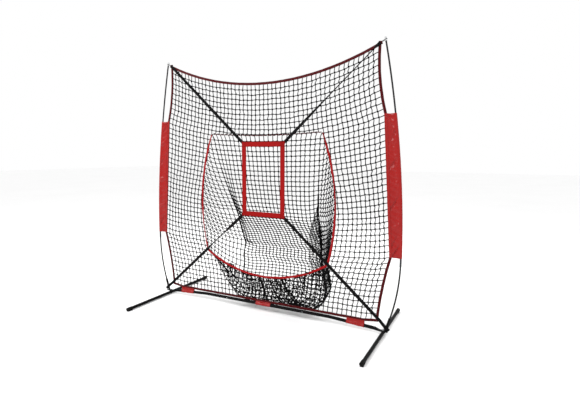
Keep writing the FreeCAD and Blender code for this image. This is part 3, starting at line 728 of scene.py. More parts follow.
def tape_grid(edge, inward, section, turn=None):
    """Carries a tape's cross-section, (inward, back) offsets, along an edge (x, z).
    section is (stations, points, 2); turn rolls it about the edge line."""
    across = np.stack([inward[:, 0], np.zeros(len(edge)), inward[:, 1]], -1)[:, None]
    a, b = section[..., 0], section[..., 1]
    if turn is not None:
        a, b = rolled(a, b, turn)
    centre = in_depth(edge)[:, None]
    return centre + across * a[..., None] + BACK * b[..., None]


def sewn(name, ending, shape, thread, looks, slot):
    """Builds a cloth and its stitching, which stand for one node, and returns the cloth."""
    piece = shape.build(name + ending, looks[0], slot, [name])
    thread.build(name + "_stitching", looks[1], slot, [name])
    return piece


def binding(side, edge, way, seed, slack):
    """Tape folded round the net's edge, puckered where it is sewn."""
    edge = evenly(edge, int(lengths(edge)[-1] / 0.0045))
    inward = unit(way * right_of(edge))
    s = lengths(edge)
    pucker = wander(s, 0.00035, (0.011, 0.019, 0.034), seed)
    edge = edge + inward * (0.0008 + 0.0006 * wander(s, 1.0, (0.09, 0.21), seed + 1))[:, None]
    half = slack + 0.0002 * smooth(np.minimum(s, s[-1] - s) / 0.03)
    wide = BINDING_REACH + wander(s, 0.0007, (0.05, 0.13), seed + 2)
    reach = np.array([1, 0.82, 0.62, 0.35, 0.1, 0.0, 0.1, 0.35, 0.62, 0.82, 1])
    sides = np.array([-1.5, -1.35, -1.1, -0.98, -0.7, 0.0, 0.7, 0.98, 1.1, 1.35, 1.5])
    section = np.stack([wide[:, None] * reach, half[:, None] * sides + pucker[:, None] * PUCKERED], -1)
    grid = tape_grid(edge, inward, section)
    shape, thread = Shape(), Shape()
    cloth(shape, grid, TAPE_T)
    for column in (1, 9):
        out = np.sign(grid[:, column, 1])[:, None] * BACK
        stitches(thread, grid[:, column] + out * STITCH_LIFT, out)
    piece = sewn("net_binding_" + side, "_tape", shape, thread, (RED_TAPE, RED_THREAD), "red_binding")
    if side in ("left", "right"):
        piece.data.materials.append(RED_CLOTH)
        for face in piece.data.polygons:
            if SLEEVE_BOTTOM[1] < face.center.z < SLEEVE_TOP[1]:
                face.material_index = 1


binding("top", TOP, 1, 11, 0.0022)
binding("bottom", BOTTOM, -1, 12, 0.0022)
binding("right", RIGHT, -1, 13, 0.0027)
binding("left", LEFT, 1, 14, 0.0027)


def mouth_trim(side, edge, seed, turn):
    """Tape folded over the mouth's edge and twisted where the net pulls it."""
    edge = evenly(edge, int(lengths(edge)[-1] / 0.005))
    inward = right_of(edge)
    edge = edge - inward * TRIM_INSET
    s = lengths(edge)
    edge = edge + inward * wander(s, 0.0012, (0.08, 0.2), seed)[:, None]
    pucker = wander(s, 0.0004, (0.012, 0.021, 0.04), seed + 1)
    width = TRIM_REACH + wander(s, 0.0006, (0.06, 0.15), seed + 2)
    reach = np.array([-1, -0.7, -0.3, 0.3, 0.8, 1.0, 0.8, 0.3, -0.3, -0.7, -1])
    sides = np.array([-1.8, -1.4, -1.05, -0.9, -0.6, 0.0, 0.6, 0.9, 1.05, 1.4, 1.8]) * TRIM_FOLD
    section = np.stack([width[:, None] * reach, sides + pucker[:, None] * PUCKERED], -1)
    grid = tape_grid(edge, inward, section, turn(s / s[-1]))
    grid[..., 1] += rim_belly(edge)[:, None]
    shape, thread = Shape(), Shape()
    normal = cloth(shape, grid, TAPE_T)
    for column in (1, 9):
        for out in (normal[:, column], -normal[:, column]):
            stitches(thread, grid[:, column] + out * 0.0006, out)
    piece = sewn("mouth_trim_" + side, "_tape", shape, thread, (TRIM_TAPE, RED_THREAD), "red_binding")


def rolled_trim(edge, seed):
    """The mouth's top tape, rolled up like a rope by the net's pull and scalloped at each mesh."""
    edge = evenly(edge, int(lengths(edge)[-1] / 0.004))
    inward = right_of(edge)
    s = lengths(edge)
    scallop = 0.0035 * np.abs(wave(s, 2 * MESH, 0.0)) - 0.0015
    edge = edge - inward * (TRIM_INSET + scallop)[:, None]
    edge = edge + inward * wander(s, 0.0015, (0.07, 0.16), seed)[:, None]
    tight = 1 + wander(s, 0.13, (0.02, 0.045, 0.11), seed + 1)
    radius = np.linspace(0.0014, 0.0044, 25)[None] * tight[:, None]
    spin = np.linspace(0, 4 * math.pi, 25)[None] + (s / 0.055 + wander(s, 0.8, (0.1, 0.3), seed + 2))[:, None]
    grid = tape_grid(edge, inward, np.stack([radius * np.cos(spin), radius * np.sin(spin)], -1))
    grid[..., 1] += rim_belly(edge)[:, None]
    shape, lashing = Shape(), Shape()
    cloth(shape, grid, 0.0007)
    # a lashing of two turns at every mesh
    ties, turn = np.arange(MESH / 2, s[-1], MESH), np.linspace(-2 * math.pi, 2 * math.pi, 21)
    at = resample(in_depth(edge), (ties[:, None] + turn * 0.0011).reshape(-1)).reshape(len(ties), -1, 3)
    at[..., 1] += rim_belly(at[..., ::2])
    at[..., 2] += LASHING_R * np.cos(turn)
    at[..., 1] += LASHING_R * np.sin(turn)
    tubes(lashing, at, 0.0013, 5)
    name = "mouth_trim_top"
    # painted shade: the roll takes the darker binding tape in place of the other mouth trims' tape, though it
    # is the same tape
    piece = shape.build(name + "_roll", RED_TAPE, "red_binding", [name])
    lashing.build(name + "_lashing", BLACK_THREAD, "net_twine", [name])


# How far each trim is twisted, in radians, along its way from its first end (0) to its last (1).
def right_turn(t):
    return np.interp(t, (0, 0.05, 0.11, 0.30, 0.38, 0.58, 0.66, 1),
                     (0.95, 0.7, 0.12, 0.12, 0.55, 0.5, 0.05, 0))


def lip_turn(t):
    return 0.16 * np.sin(2 * math.pi * 1.5 * t) * smooth(t / 0.1) * smooth((1 - t) / 0.1)


def left_turn(t):
    return np.interp(t, (0, 0.1, 0.28, 0.38, 0.62, 0.70, 0.85, 0.95, 1),
                     (0, -0.72, -0.66, 0.25, 0.15, -0.2, 0.05, -0.6, -0.7))


rolled_trim(MOUTH_EDGES[0], 31)
mouth_trim("right", MOUTH_EDGES[1], 33, right_turn)
mouth_trim("bottom", MOUTH_EDGES[2], 36, lip_turn)
mouth_trim("left", MOUTH_EDGES[3], 39, left_turn)


# --- catch pocket -------------------------------------------------------------------------

BACK_MESHES = 24
SIDE_MESHES = 9
POCKET_ROWS = 61
SIDE_ROWS = 44
LOOSE_ROWS = 17              # rows above the gathered part of the pocket
FRONT_ROWS = 8               # rows from the lip down that belong to the front panel
POCKET_COLUMNS = BACK_MESHES + 2 * SIDE_MESHES
FOLDED_PAIR = 0.87           # two meshes in a row resist folding to less than this of their length
GRAVITY = 9.8
GROUND_GAP = 0.014           # how near the ground and the screen a knot comes
SCREEN_GAP = 0.012
SEAM_POINTS = 620            # points along a seam, and at which of them its cords end
LACED = 440
BUNCHED = 400
# Where the pocket's seams hang at some heights, and how far back its middle does.
SEAM_Z = (0.30, 0.50, 0.80, 0.95, 1.10, 1.27, 1.47)
SEAM_X = (0.40, 0.37, 0.395, 0.422, 0.447, 0.472, 0.495)
SEAM_Y = (0.30, 0.34, 0.235, 0.158, 0.098, 0.047, 0.005)
BACK_Z = (0.30, 0.42, 0.52, 0.65, 0.78, 0.90, 1.10, 1.30, 1.47)
BACK_Y = (0.38, 0.365, 0.335, 0.255, 0.155, 0.10, 0.055, 0.03, 0.0)


def pocket_border():
    """Where the pocket's edge meshes are tied along the mouth."""
    half = chain(
        arc(MOUTH_TOP_SAG, (0.26, 1.4685), MOUTH_TOP, 30),
        arc(MOUTH_TOP, MOUTH_SIDE, MOUTH_BOTTOM, 60),
        arc(MOUTH_BOTTOM, (0.3, 0.362), MOUTH_LIP, 40),
    )
    s = lengths(half)
    s_top, s_side, s_end = s[29], s[88], s[-1]
    rows, columns, middle = POCKET_ROWS, POCKET_COLUMNS, POCKET_COLUMNS / 2
    border = np.zeros((rows + 1, columns + 1, 3))

    def put(row, column, t, side):
        x, z = np.interp(t, s, half[:, 0]), np.interp(t, s, half[:, 1])
        border[row, column] = side * x, 0, z

    below = rows - SIDE_ROWS + middle
    for c in range(columns + 1):
        k, side = abs(c - middle), np.sign(c - middle)
        put(0, c, s_top * min(2 * k / BACK_MESHES, 1) + max(0, k - BACK_MESHES / 2) * 0.0015, side)
        put(rows, c, s_side + (s_end - s_side) * (rows - SIDE_ROWS + middle - k) / below, side)
    ties = (0.013, 0.013 + 0.0355 * LOOSE_ROWS, s_side - s_top)
    for r in range(rows + 1):
        if r <= SIDE_ROWS:
            t = s_top + np.interp(r, (0, LOOSE_ROWS, SIDE_ROWS), ties)
        else:
            t = s_side + (s_end - s_side) * (r - SIDE_ROWS) / below
        put(r, 0, t, -1)
        put(r, columns, t, 1)
    return border


def pocket_cords():
    """Lengths of the cords between neighbouring knots, across and down. The side panels widen
    downwards and are gathered onto the mouth's edge, and the low rows are drawn together."""
    levels = np.arange(POCKET_ROWS + 1)
    tapering = np.interp(levels, (0, 8, 17, 40), (0.040, 0.038, 0.0345, 0.0365))
    across = np.repeat(tapering[:, None], POCKET_COLUMNS, 1)
    growing = np.interp(levels, (0, 5, 9.5, 13, 17, 31, 44),
                        (0.002, 0.010, 0.0195, 0.0265, 0.033, 0.042, 0.044))
    across[:, :SIDE_MESHES] = across[:, -SIDE_MESHES:] = growing[:, None]
    off_middle = np.abs(np.arange(POCKET_COLUMNS + 1) - POCKET_COLUMNS / 2)
    from_seam = np.clip((off_middle - BACK_MESHES / 2) / SIDE_MESHES, 0, 1)
    zones = (0, LOOSE_ROWS - 2, LOOSE_ROWS + 2, 40, 46)
    down = np.interp(levels[:-1], zones, (0.040, 0.040, 0.0285, 0.0285, 0.034))[:, None]
    gathered = np.interp(levels[:-1], zones, (0.1, 0.1, 0.48, 0.48, 0.0))[:, None]
    return across, down * (1 - gathered * from_seam[None] ** 0.8)


def relax(now, free, axis, step, rest, stretch, squeeze):
    """Moves knots that are some steps apart along an axis towards their cords' length. stretch
    and squeeze are the shares of a length too many or too few that are taken away at once."""
    shape = np.array(free.shape)
    shape[axis] -= step
    rest = np.broadcast_to(rest, shape)
    if axis:
        now, free, rest = now.swapaxes(0, 1), free.T, rest.T
    for first in range(2 * step):
        i = np.array([k for k in range(len(now) - step)
                      if (k // step) % 2 == first // step and k % step == first % step])
        a, b, wa, wb = now[i], now[i + step], free[i], free[i + step]
        d = b - a
        length = np.sqrt((d * d).sum(-1)) + 1e-9
        over = length - rest[i]
        share = np.where(over > 0, stretch, squeeze) / (wa + wb + 1e-9)
        move = (share * over / length * (wa + wb > 0))[..., None] * d
        now[i], now[i + step] = a + wa[..., None] * move, b - wb[..., None] * move


def guide(new, at, free):
    """Holds the pocket's seams and back loosely where the net hangs in use, and lets what
    reaches the ground or the screen rest against it."""
    row = np.arange(1, POCKET_ROWS)
    for side, c in ((-1, SIDE_MESHES), (1, POCKET_COLUMNS - SIDE_MESHES)):
        z = new[1:-1, c, 2]
        hold = 0.3 * (row < 38) * (z > 0.34)
        x_at = side * np.interp(z, SEAM_Z, SEAM_X)
        y_at = np.interp(z, SEAM_Z, SEAM_Y)
        new[1:-1, c, 0] += hold * (x_at - new[1:-1, c, 0])
        new[1:-1, c, 1] += hold * (y_at - new[1:-1, c, 1])
    panel = slice(SIDE_MESHES + 3, POCKET_COLUMNS - SIDE_MESHES - 2)
    ease = np.clip(1 - np.abs(np.arange(panel.start, panel.stop) - POCKET_COLUMNS / 2) / 16, 0, 1) ** 0.5
    tiers = np.interp(row, (0, LOOSE_ROWS, 40), (1.47, 0.80, 0.30))
    onset = smooth((row - 8) / 10) * smooth((43 - row) / 5)
    z, y = new[1:-1, panel, 2], new[1:-1, panel, 1]
    back = np.interp(z, BACK_Z, BACK_Y)
    new[1:-1, panel, 1] += 0.06 * (row < 41)[:, None] * (z > 0.30) * (back - y)
    new[1:-1, panel, 2] += 0.05 * onset[:, None] * ease * (tiers[:, None] - z)
    resting = (new[..., 2] < GROUND_GAP) & (free > 0)
    new[resting, 2] = GROUND_GAP
    new[resting, :2] = at[resting, :2] * 0.7 + new[resting, :2] * 0.3
    new[(new[..., 1] < SCREEN_GAP) & (free > 0), 1] = SCREEN_GAP


def sagged_pocket(steps):
    """Lets the pocket's net hang from the mouth under its own weight, as a grid of knots
    joined by cords that do not stretch and go slack easily."""
    rows, columns = POCKET_ROWS, POCKET_COLUMNS
    border = pocket_border()
    at = filled(border[0], border[-1], border[:, 0], border[:, -1])
    u, v = np.linspace(0, 1, columns + 1)[None], np.linspace(0, 1, rows + 1)[:, None]
    swell = np.sin(math.pi * u) ** 0.7 * np.sin(math.pi * v) ** 0.7
    at[..., 1] += 0.45 * swell
    at[..., 2] -= 0.35 * swell * v
    edge = border_of(at)
    at[edge] = border[edge]
    at[1:-1, 1:-1] += np.random.default_rng(7).normal(0, 0.004, (rows - 1, columns - 1, 3))
    free = 1.0 - edge
    across, down = pocket_cords()
    two_across, two_down = ((rest[1:] + rest[:-1]) * FOLDED_PAIR for rest in (across.T, down))
    speed, dt = np.zeros_like(at), 1 / 60
    for _ in range(steps):
        pull = np.zeros_like(at)
        z = at[..., 2]
        pull[..., 2] = -GRAVITY
        pull[..., 1] = GRAVITY * 0.25 * np.clip((z - 0.15) / 0.5, 0, 1)
        pull[..., 0] = 1.6 * np.exp(-(((z - 0.45) / 0.2) ** 2)) + 3.0 * np.exp(-(((z - 0.15) / 0.15) ** 2))
        speed = (speed + dt * pull) * 0.97
        new = at + dt * speed * free[..., None]
        for _ in range(12):
            relax(new, free, 0, 1, down, 1.0, 0.15)
            relax(new, free, 1, 1, across, 1.0, 0.15)
            relax(new, free, 0, 2, two_down, 0.0, 0.08)
            relax(new, free, 1, 2, two_across.T, 0.0, 0.08)
            guide(new, at, free)
        speed = (new - at) / dt
        at = new
    return at


def widening_panel(at, seam, rim):
    """The side panel's knots a mesh apart from the seam out, cut off where the mouth's edge is."""
    step = 1 if rim > seam else -1
    rows = at[:, seam:rim + step if rim + step >= 0 else None:step]
    width = np.array([lengths(row)[-1] for row in rows])
    count = int(width.max() / MESH) + 2
    stations = np.minimum(np.arange(count)[None] * MESH, width[:, None])
    points = np.array([resample(row, s) for row, s in zip(rows, stations)])
    tied = np.arange(count)[None] * MESH < width[:, None] - 0.004
    if step < 0:
        points, tied = points[:, ::-1], tied[:, ::-1]
    return points, tied


def whole(n, m):
    """Shares and presence of cords that all run the whole way."""
    return np.zeros((n, m)), np.ones((n, m)), np.ones((n, m), bool)


def catch_pocket():
    """The pocket's net: its back, its front under the lip, its two sides and their seams."""
    at = sagged_pocket(300)
    rows, columns = POCKET_ROWS, POCKET_COLUMNS
    # evens out the low rows
    for _ in range(3):
        mean = (at[:-2, 1:-1] + at[2:, 1:-1] + at[1:-1, :-2] + at[1:-1, 2:]) / 4
        low = smooth((np.arange(1, rows) - 12) / 8)[:, None, None]
        at[1:-1, 1:-1] += 0.45 * low * (mean - at[1:-1, 1:-1])
    # ties the border to the middle of the trim
    edge = border_of(at)
    out = unit((at[edge] - (0, 0, 0.9)) * (1, 0, 1))
    at[edge] += out * 0.008
    at[edge, 1] += rim_belly(at[edge][:, ::2])
    left, right = SIDE_MESHES, columns - SIDE_MESHES
    back = at[:, left:right + 1]
    inner = np.ones(back.shape[:2], bool)
    inner[0] = inner[-1] = False
    weft, warp = whole(rows + 1, right - left), whole(rows, right - left + 1)
    weft[2][0] = weft[2][-1] = False
    parts = np.zeros(back.shape[:2], int)
    parts[rows - FRONT_ROWS:] = 1
    shapes = net_cords(back, inner, weft, warp, parts, 9)
    for shape, name in zip(shapes.values(), ("back", "front")):
        shape.build("pocket_%s_net" % name, TWINE, "net_twine", ["pocket_" + name])
    # the side panels show every row of the loose part, and every other one of the gathered part
    kept = [*range(LOOSE_ROWS), *range(LOOSE_ROWS, rows + 1, 2)]
    for name, seam, rim in (("left", left, 0), ("right", right, columns)):
        points, tied = widening_panel(at[kept], seam, rim)
        own = 0 if rim else tied.shape[1] - 1
        knots = tied.copy()
        knots[:, own] = knots[0] = knots[-1] = False
        weft, warp = whole(*tied[:, 1:].shape), whole(*tied[1:].shape)
        weft[2][:] = tied[:, 1:] | tied[:, :-1]
        weft[2][0] = weft[2][-1] = False
        warp[2][:] = tied[1:] | tied[:-1]
        warp[2][:, own] = False
        shape = net_cords(points, knots, weft, warp, np.zeros(tied.shape, int), 10 + seam)[0]
        shape.build("pocket_%s_net" % name, TWINE, "net_twine", ["pocket_side_" + name])
    seam_cords(at[:, left], "left", 0.006, 5)
    seam_cords(at[:, right], "right", 0.012, 6)


def seam_cords(seam, side, fat, strands):
    """Cords that lace the side panels to the back, gathered into a bundle low on the right."""
    dense = evenly(seam, SEAM_POINTS)
    s, z = lengths(dense), dense[:, 2]
    d = unit(np.gradient(dense, axis=0))
    a = unit(np.cross(d, (0.3, 1, 0.2)))
    b = np.cross(d, a)
    shape = Shape()
    for n in range(strands):
        swell = 0.0024 + fat * smooth((1.25 - z) / 0.6) * (0.3 + 0.5 * n / strands)
        turn = s / (0.05 + 0.02 * n) * math.pi + 2 * math.pi * n / strands
        turn = turn + wander(s, 0.6, (0.07, 0.17), 90 + n)
        path = dense + (swell * np.cos(turn))[:, None] * a + (swell * np.sin(turn))[:, None] * b
        tubes(shape, path[None, 70 + 24 * n if n else 0:LACED], 0.0021)
    if side == "right":
        bunched_net(shape, dense[(z < 1.0) & (np.arange(SEAM_POINTS) < BUNCHED)])
    shape.build("pocket_seam_" + side, TWINE, "net_twine", ["pocket_side_" + side])


def bunched_net(shape, low, count=15, radius=0.0019):
    """Net drawn together beside a seam: strands that spread downwards, with rungs between them."""
    drop = smooth((0.97 - low[:, 2]) / 0.42)
    loose = 0.25 + 0.75 * drop
    t = lengths(low)
    strands, begins = [], []
    for n in range(count):
        f = n / (count - 1)
        path = low.copy()
        path[:, 0] += (0.030 - 0.130 * f) * drop + loose * wander(t, 0.005, (0.05, 0.11), 120 + n)
        path[:, 1] += -0.020 * drop * abs(math.sin(5 * f)) + loose * wander(t, 0.006, (0.06, 0.14), 150 + n)
        strands.append(path)
        begins.append(int(len(low) * 0.45 * ((7 * n) % count) / count))
        tubes(shape, path[None, begins[-1]:], radius)
    r = np.random.default_rng(33)
    arch = np.outer((0, 1, 1, 0), (0, 0.003, -0.003))
    rungs = []
    for n, (first, second) in enumerate(zip(strands, strands[1:])):
        for k in range(max(begins[n:n + 2]) + int(r.integers(4, 9)), len(low) - 8, 9):
            j = min(k + int(r.integers(-3, 4)), len(low) - 1)
            rungs.append(np.linspace(first[k], second[j], 4) + arch)
    tubes(shape, np.array(rungs), radius)


catch_pocket()


# --- strike zone and straps ---------------------------------------------------------------

def band(shape, start, end, y, width, thickness, columns=9, curl=0.0, turn=None, seed=0, depth=None):
    """Flat webbing from one point (x, z) to another. turn and depth give its twist and its
    distance in front, at lengths along it."""
    start, end = np.array(start), np.array(end)
    length = np.linalg.norm(end - start)
    line = run(start, end, max(int(length / 0.006), 6))
    along = (end - start) / length
    across = np.array([-along[1], 0, along[0]])
    s = lengths(line)
    k = np.linspace(-1, 1, columns)[None]
    a = width / 2 * k + wander(s, 0.0003, (0.05, 0.12), seed)[:, None]
    b = wander(s, 0.0002, (0.03, 0.08), seed + 1)[:, None] - curl * k**2
    if turn is not None:
        a, b = rolled(a, b, turn(s))
    centre = in_depth(line, y if depth is None else y + depth(s))[:, None]
    grid = centre + across * a[..., None] + FRONT * b[..., None]
    cloth(shape, grid, thickness)
    return grid


def box_stitch(thread, x, z, half, y):
    """A square with a cross sewn through overlapped webbing."""
    p = [np.array((x + i * half, y, z + j * half)) for i, j in ((-1, -1), (1, -1), (1, 1), (-1, 1))]
    for a, b in ((0, 1), (1, 2), (2, 3), (3, 0), (0, 2), (1, 3)):
        stitches(thread, run(p[a], p[b], 30), FRONT, 0.0036, 0.0028, 0.0006)


def bar_tack(thread, at, along, y):
    """A row of stitches across a strap."""
    across = np.array((-along[1], along[0])) * 0.010
    stitches(thread, in_depth(run(at - across, at + across, 20), y), FRONT, 0.0034, 0.0027, 0.0006)


ZONE_HALF = 0.200
ZONE_LOW = 0.808
ZONE_HIGH = 1.423
ZONE_BAND = 0.041
ZONE_TUCK = ZONE_BAND / 2
ZONE_Y = -0.0060
EYELET = (0.947, 2.101)


def strike_zone():
    """Red webbing in a rectangle, overlapped and sewn at its corners."""
    shape, thread = Shape(), Shape()
    inner = ZONE_HALF - ZONE_TUCK
    bands = [((side * inner, ZONE_LOW), (side * inner, ZONE_HIGH), ZONE_Y) for side in (-1, 1)]
    for z in (ZONE_LOW + ZONE_TUCK, ZONE_HIGH - ZONE_TUCK):
        bands.append(((-ZONE_HALF, z), (ZONE_HALF, z), ZONE_Y - 0.0012))
    for (start, end, y), seed in zip(bands, (50, 51, 54, 55)):
        grid = band(shape, start, end, y, ZONE_BAND, 0.00115, seed=seed)
        for column in (1, 7):
            stitches(thread, grid[:, column] + FRONT * 0.0006, FRONT, 0.005, 0.0036, 0.0005)
        if start[1] == end[1]:
            for side in (-1, 1):
                box_stitch(thread, side * inner, start[1], ZONE_TUCK - 0.004, -0.0079)
    piece = shape.build("strike_zone_bands", RED_WEB, "red_webbing", ["strike_zone_frame"])
    thread.build("strike_zone_stitching", RED_THREAD, "red_webbing", ["strike_zone_frame"])


def pole_point(s):
    """Centre (x, z) and upward direction of the right pole at a length from its foot."""
    d = np.array((math.sin(POLE_LEAN), math.cos(POLE_LEAN)))
    if s <= POLE_STRAIGHT:
        return np.array(POLE_FOOT) + s * d, d
    start = np.array(POLE_FOOT) + POLE_STRAIGHT * d
    lower_r = (BOW_X - start[0]) / (1 - math.cos(POLE_LEAN))
    s_bow = POLE_STRAIGHT + lower_r * POLE_LEAN
    bow_z = start[1] + lower_r * math.sin(POLE_LEAN)
    rise, inward = TIP[1] - bow_z, BOW_X - TIP[0]
    radius = lower_r if s <= s_bow else (rise**2 + inward**2) / (2 * inward)
    turn = (s - s_bow) / radius
    at = np.array((BOW_X - radius + radius * math.cos(turn), bow_z + radius * math.sin(turn)))
    return at, np.array((-math.sin(turn), math.cos(turn)))


STRAP_WIDTH = 0.025
STRAP_T = 0.0015
STRAP_Y = -0.00445


def twist_depth(turn):
    """How far a strap with a twist is held in front, so that its turned edge clears the net."""
    return lambda s: -0.009 * np.abs(np.sin(turn(s)))


def build_strap(where, side, shape, thread):
    """Builds a strap with its stitching."""
    name = "strap_%s_%s" % (where, side_name(side))
    piece = sewn(name, "_webbing", shape, thread, (BLACK_WEB, BLACK_THREAD), "black_webbing")


def upper_strap(side):
    """Black webbing from the zone's corner to the net's upper corner."""
    start = np.array((side * (ZONE_HALF - ZONE_TUCK), ZONE_HIGH - ZONE_TUCK))
    eyelet = np.array(EYELET) * (side, 1)
    length = np.linalg.norm(eyelet - start)
    end = start + (eyelet - start) * (1 - 0.007 / length)

    def turn(s):
        if side < 0:
            return 0.10 * np.sin(s * 5) * smooth(s / 0.3) * smooth((length - s) / 0.25)
        return -0.95 * smooth((s - 0.05) / 0.55) * smooth((length - 0.015 - s) / 0.06)

    shape, thread = Shape(), Shape()
    band(shape, start, end, STRAP_Y, STRAP_WIDTH, STRAP_T, 7, 0.0002, turn, 60 + side, twist_depth(turn))
    along = (eyelet - start) / length
    for offset in (0.018, 0.040):
        bar_tack(thread, end - along * offset, along, STRAP_Y - 0.0008)
    build_strap("upper", side, shape, thread)


def lower_strap(side):
    """Black webbing from the zone's corner to a loop round the pole's socket."""
    start = np.array((side * (ZONE_HALF - ZONE_TUCK), ZONE_LOW + ZONE_TUCK))
    centre, up = pole_point(0.012 + STRAP_WIDTH / 2)
    anchor = centre * (side, 1)
    reach = np.linalg.norm(anchor - start)
    along = (anchor - start) / reach

    def turn(s):
        if side > 0:
            return 0.14 * np.sin(s * 6) * smooth(s / 0.3) * smooth((reach - s) / 0.3)
        return 0.98 * smooth((s - 0.16) / 0.12) * smooth((0.53 - s) / 0.09)

    def depth(s):
        """The strap rises over the pole's socket and comes down past it."""
        over = smooth((s - (reach - 0.075)) / 0.055)
        past = smooth((s - reach - 0.004) / 0.022)
        return -0.0084 * over + 0.0045 * past + twist_depth(turn)(s)

    shape, thread = Shape(), Shape()
    end = anchor + along * 0.026
    band(shape, start, end, STRAP_Y, STRAP_WIDTH, STRAP_T, 7, 0.0002, turn, 64 + side, depth)
    # the loop round the socket
    angle = np.linspace(-0.5 * math.pi - 0.2, 1.5 * math.pi - 0.35, 41)
    rows = np.linspace(-STRAP_WIDTH / 2, STRAP_WIDTH / 2, 7)
    radial = np.array((up[1] * side, 0, -up[0]))
    axis = np.array((up[0] * side, 0, up[1]))
    ring = np.cos(angle)[:, None] * radial + np.sin(angle)[:, None] * BACK
    cloth(shape, in_depth(anchor[None])[0] + 0.01075 * ring[:, None] + axis * rows[None, :, None], STRAP_T)
    for offset in (0.022, 0.046):
        y = STRAP_Y + depth(np.array([reach - offset]))[0] - 0.0009
        bar_tack(thread, anchor - along * offset, along, y)
    build_strap("lower", side, shape, thread)


for way in (-1, 1):
    upper_strap(way)
    lower_strap(way)
strike_zone()


# --- sleeves and tabs ---------------------------------------------------------------------

def settle(grid, pinned, frames, stiffness, grow, gravity=1.0):
    """Lets cloth, a grid of points, settle under its own weight with some points pinned."""
    n, m = grid.shape[:2]
    mesh = bpy.data.meshes.new("settling")
    mesh.from_pydata(grid.reshape(-1, 3).tolist(), [], quads(n, m).tolist())
    piece = add_object("settling", mesh)
    group = piece.vertex_groups.new(name="pinned")
    group.add(np.nonzero(pinned.reshape(-1))[0].tolist(), 1.0, "REPLACE")
    modifier = piece.modifiers.new("settling", "CLOTH")
    for setting, value in {
        "quality": 6, "mass": 0.12, "tension_stiffness": stiffness, "compression_stiffness": stiffness,
        "shear_stiffness": stiffness * 0.4, "bending_stiffness": 0.25, "vertex_group_mass": "pinned",
        "shrink_min": -grow,
    }.items():
        setattr(modifier.settings, setting, value)
    modifier.settings.effector_weights.gravity = gravity
    modifier.collision_settings.use_collision = False
    modifier.point_cache.frame_start, modifier.point_cache.frame_end = 1, frames
    scene = bpy.context.scene
    for frame_number in range(1, frames + 1):
        scene.frame_set(frame_number)
    settled = piece.evaluated_get(bpy.context.evaluated_depsgraph_get()).data
    points = np.zeros(n * m * 3)
    settled.vertices.foreach_get("co", points)
    scene.frame_set(1)
    bpy.data.objects.remove(piece)
    bpy.data.meshes.remove(mesh)
    return points.reshape(n, m, 3)


def bow_at(z):
    """The right pole's centre x where it is at a height, on the bow."""
    s = np.linspace(0.3, 2.2, 400)
    points = np.array([pole_point(t)[0] for t in s])
    return np.interp(z, points[:, 1], points[:, 0])


SLEEVE_R = 0.0089            # of the cloth round the pole
FOLD_LIMIT = 0.014           # how far the sleeve's folds stand out at most
# Each fold of the sleeves: its height at the seam and at the pole, its depth and its width.
FOLDS = {
    1: ((1.60, 1.42, 0.006, 0.012), (1.38, 1.51, -0.009, 0.013), (1.22, 1.31, -0.006, 0.012),
        (1.04, 1.16, 0.005, 0.015), (0.93, 1.05, -0.007, 0.012), (0.80, 0.84, 0.005, 0.014),
        (0.66, 0.81, -0.009, 0.012), (0.59, 0.70, -0.007, 0.010)),
    -1: ((1.61, 1.47, -0.008, 0.012), (1.46, 1.40, 0.005, 0.014), (1.33, 1.21, -0.008, 0.012),
         (1.12, 1.08, 0.005, 0.015), (1.02, 0.89, -0.008, 0.012), (0.86, 0.83, 0.005, 0.013),
         (0.79, 0.64, -0.009, 0.012), (0.68, 0.59, -0.006, 0.010)),
}


def sleeve_web(side):
    """The panel between the net's seam and the pole, wrinkled by the pull of the bow."""
    z = np.linspace(SLEEVE_BOTTOM[1], SLEEVE_TOP[1], 190)
    seam = np.interp(z, (SLEEVE_BOTTOM[1], SLEEVE_TOP[1]), (SLEEVE_BOTTOM[0], SLEEVE_TOP[0])) - 0.003
    pole = bow_at(z)
    share = np.linspace(0, 1, 19)[None]
    x = seam[:, None] * (1 - share) + pole[:, None] * share
    drift = wander(z, 1.0, (0.07, 0.13, 0.31), 72 + side)[:, None]
    ripple = 0.0009 * (wave(z[:, None] + 0.04 * share, 0.047, 0.2) + drift)
    for at_seam, at_pole, depth, width in FOLDS[side]:
        away = z[:, None] - (at_seam + (at_pole - at_seam) * share)
        uneven = 0.6 + 0.4 * np.cos(3 * share + at_seam * 20)
        ripple = ripple - 1.3 * depth * np.exp(-((away / width) ** 2)) * uneven
    ripple = ripple * np.sin(math.pi * share) ** 0.5
    grid = np.stack([x, ripple, z[:, None] + 0 * x], -1)
    pinned = np.zeros(x.shape, bool)
    pinned[:, 0] = pinned[:, -1] = True
    grid = settle(grid, pinned, 22, 12.0, 0.008, 0.5)
    grid[..., 1] = FOLD_LIMIT * np.tanh((0.5 * grid[..., 1] + ripple) / FOLD_LIMIT)
    return grid, pole


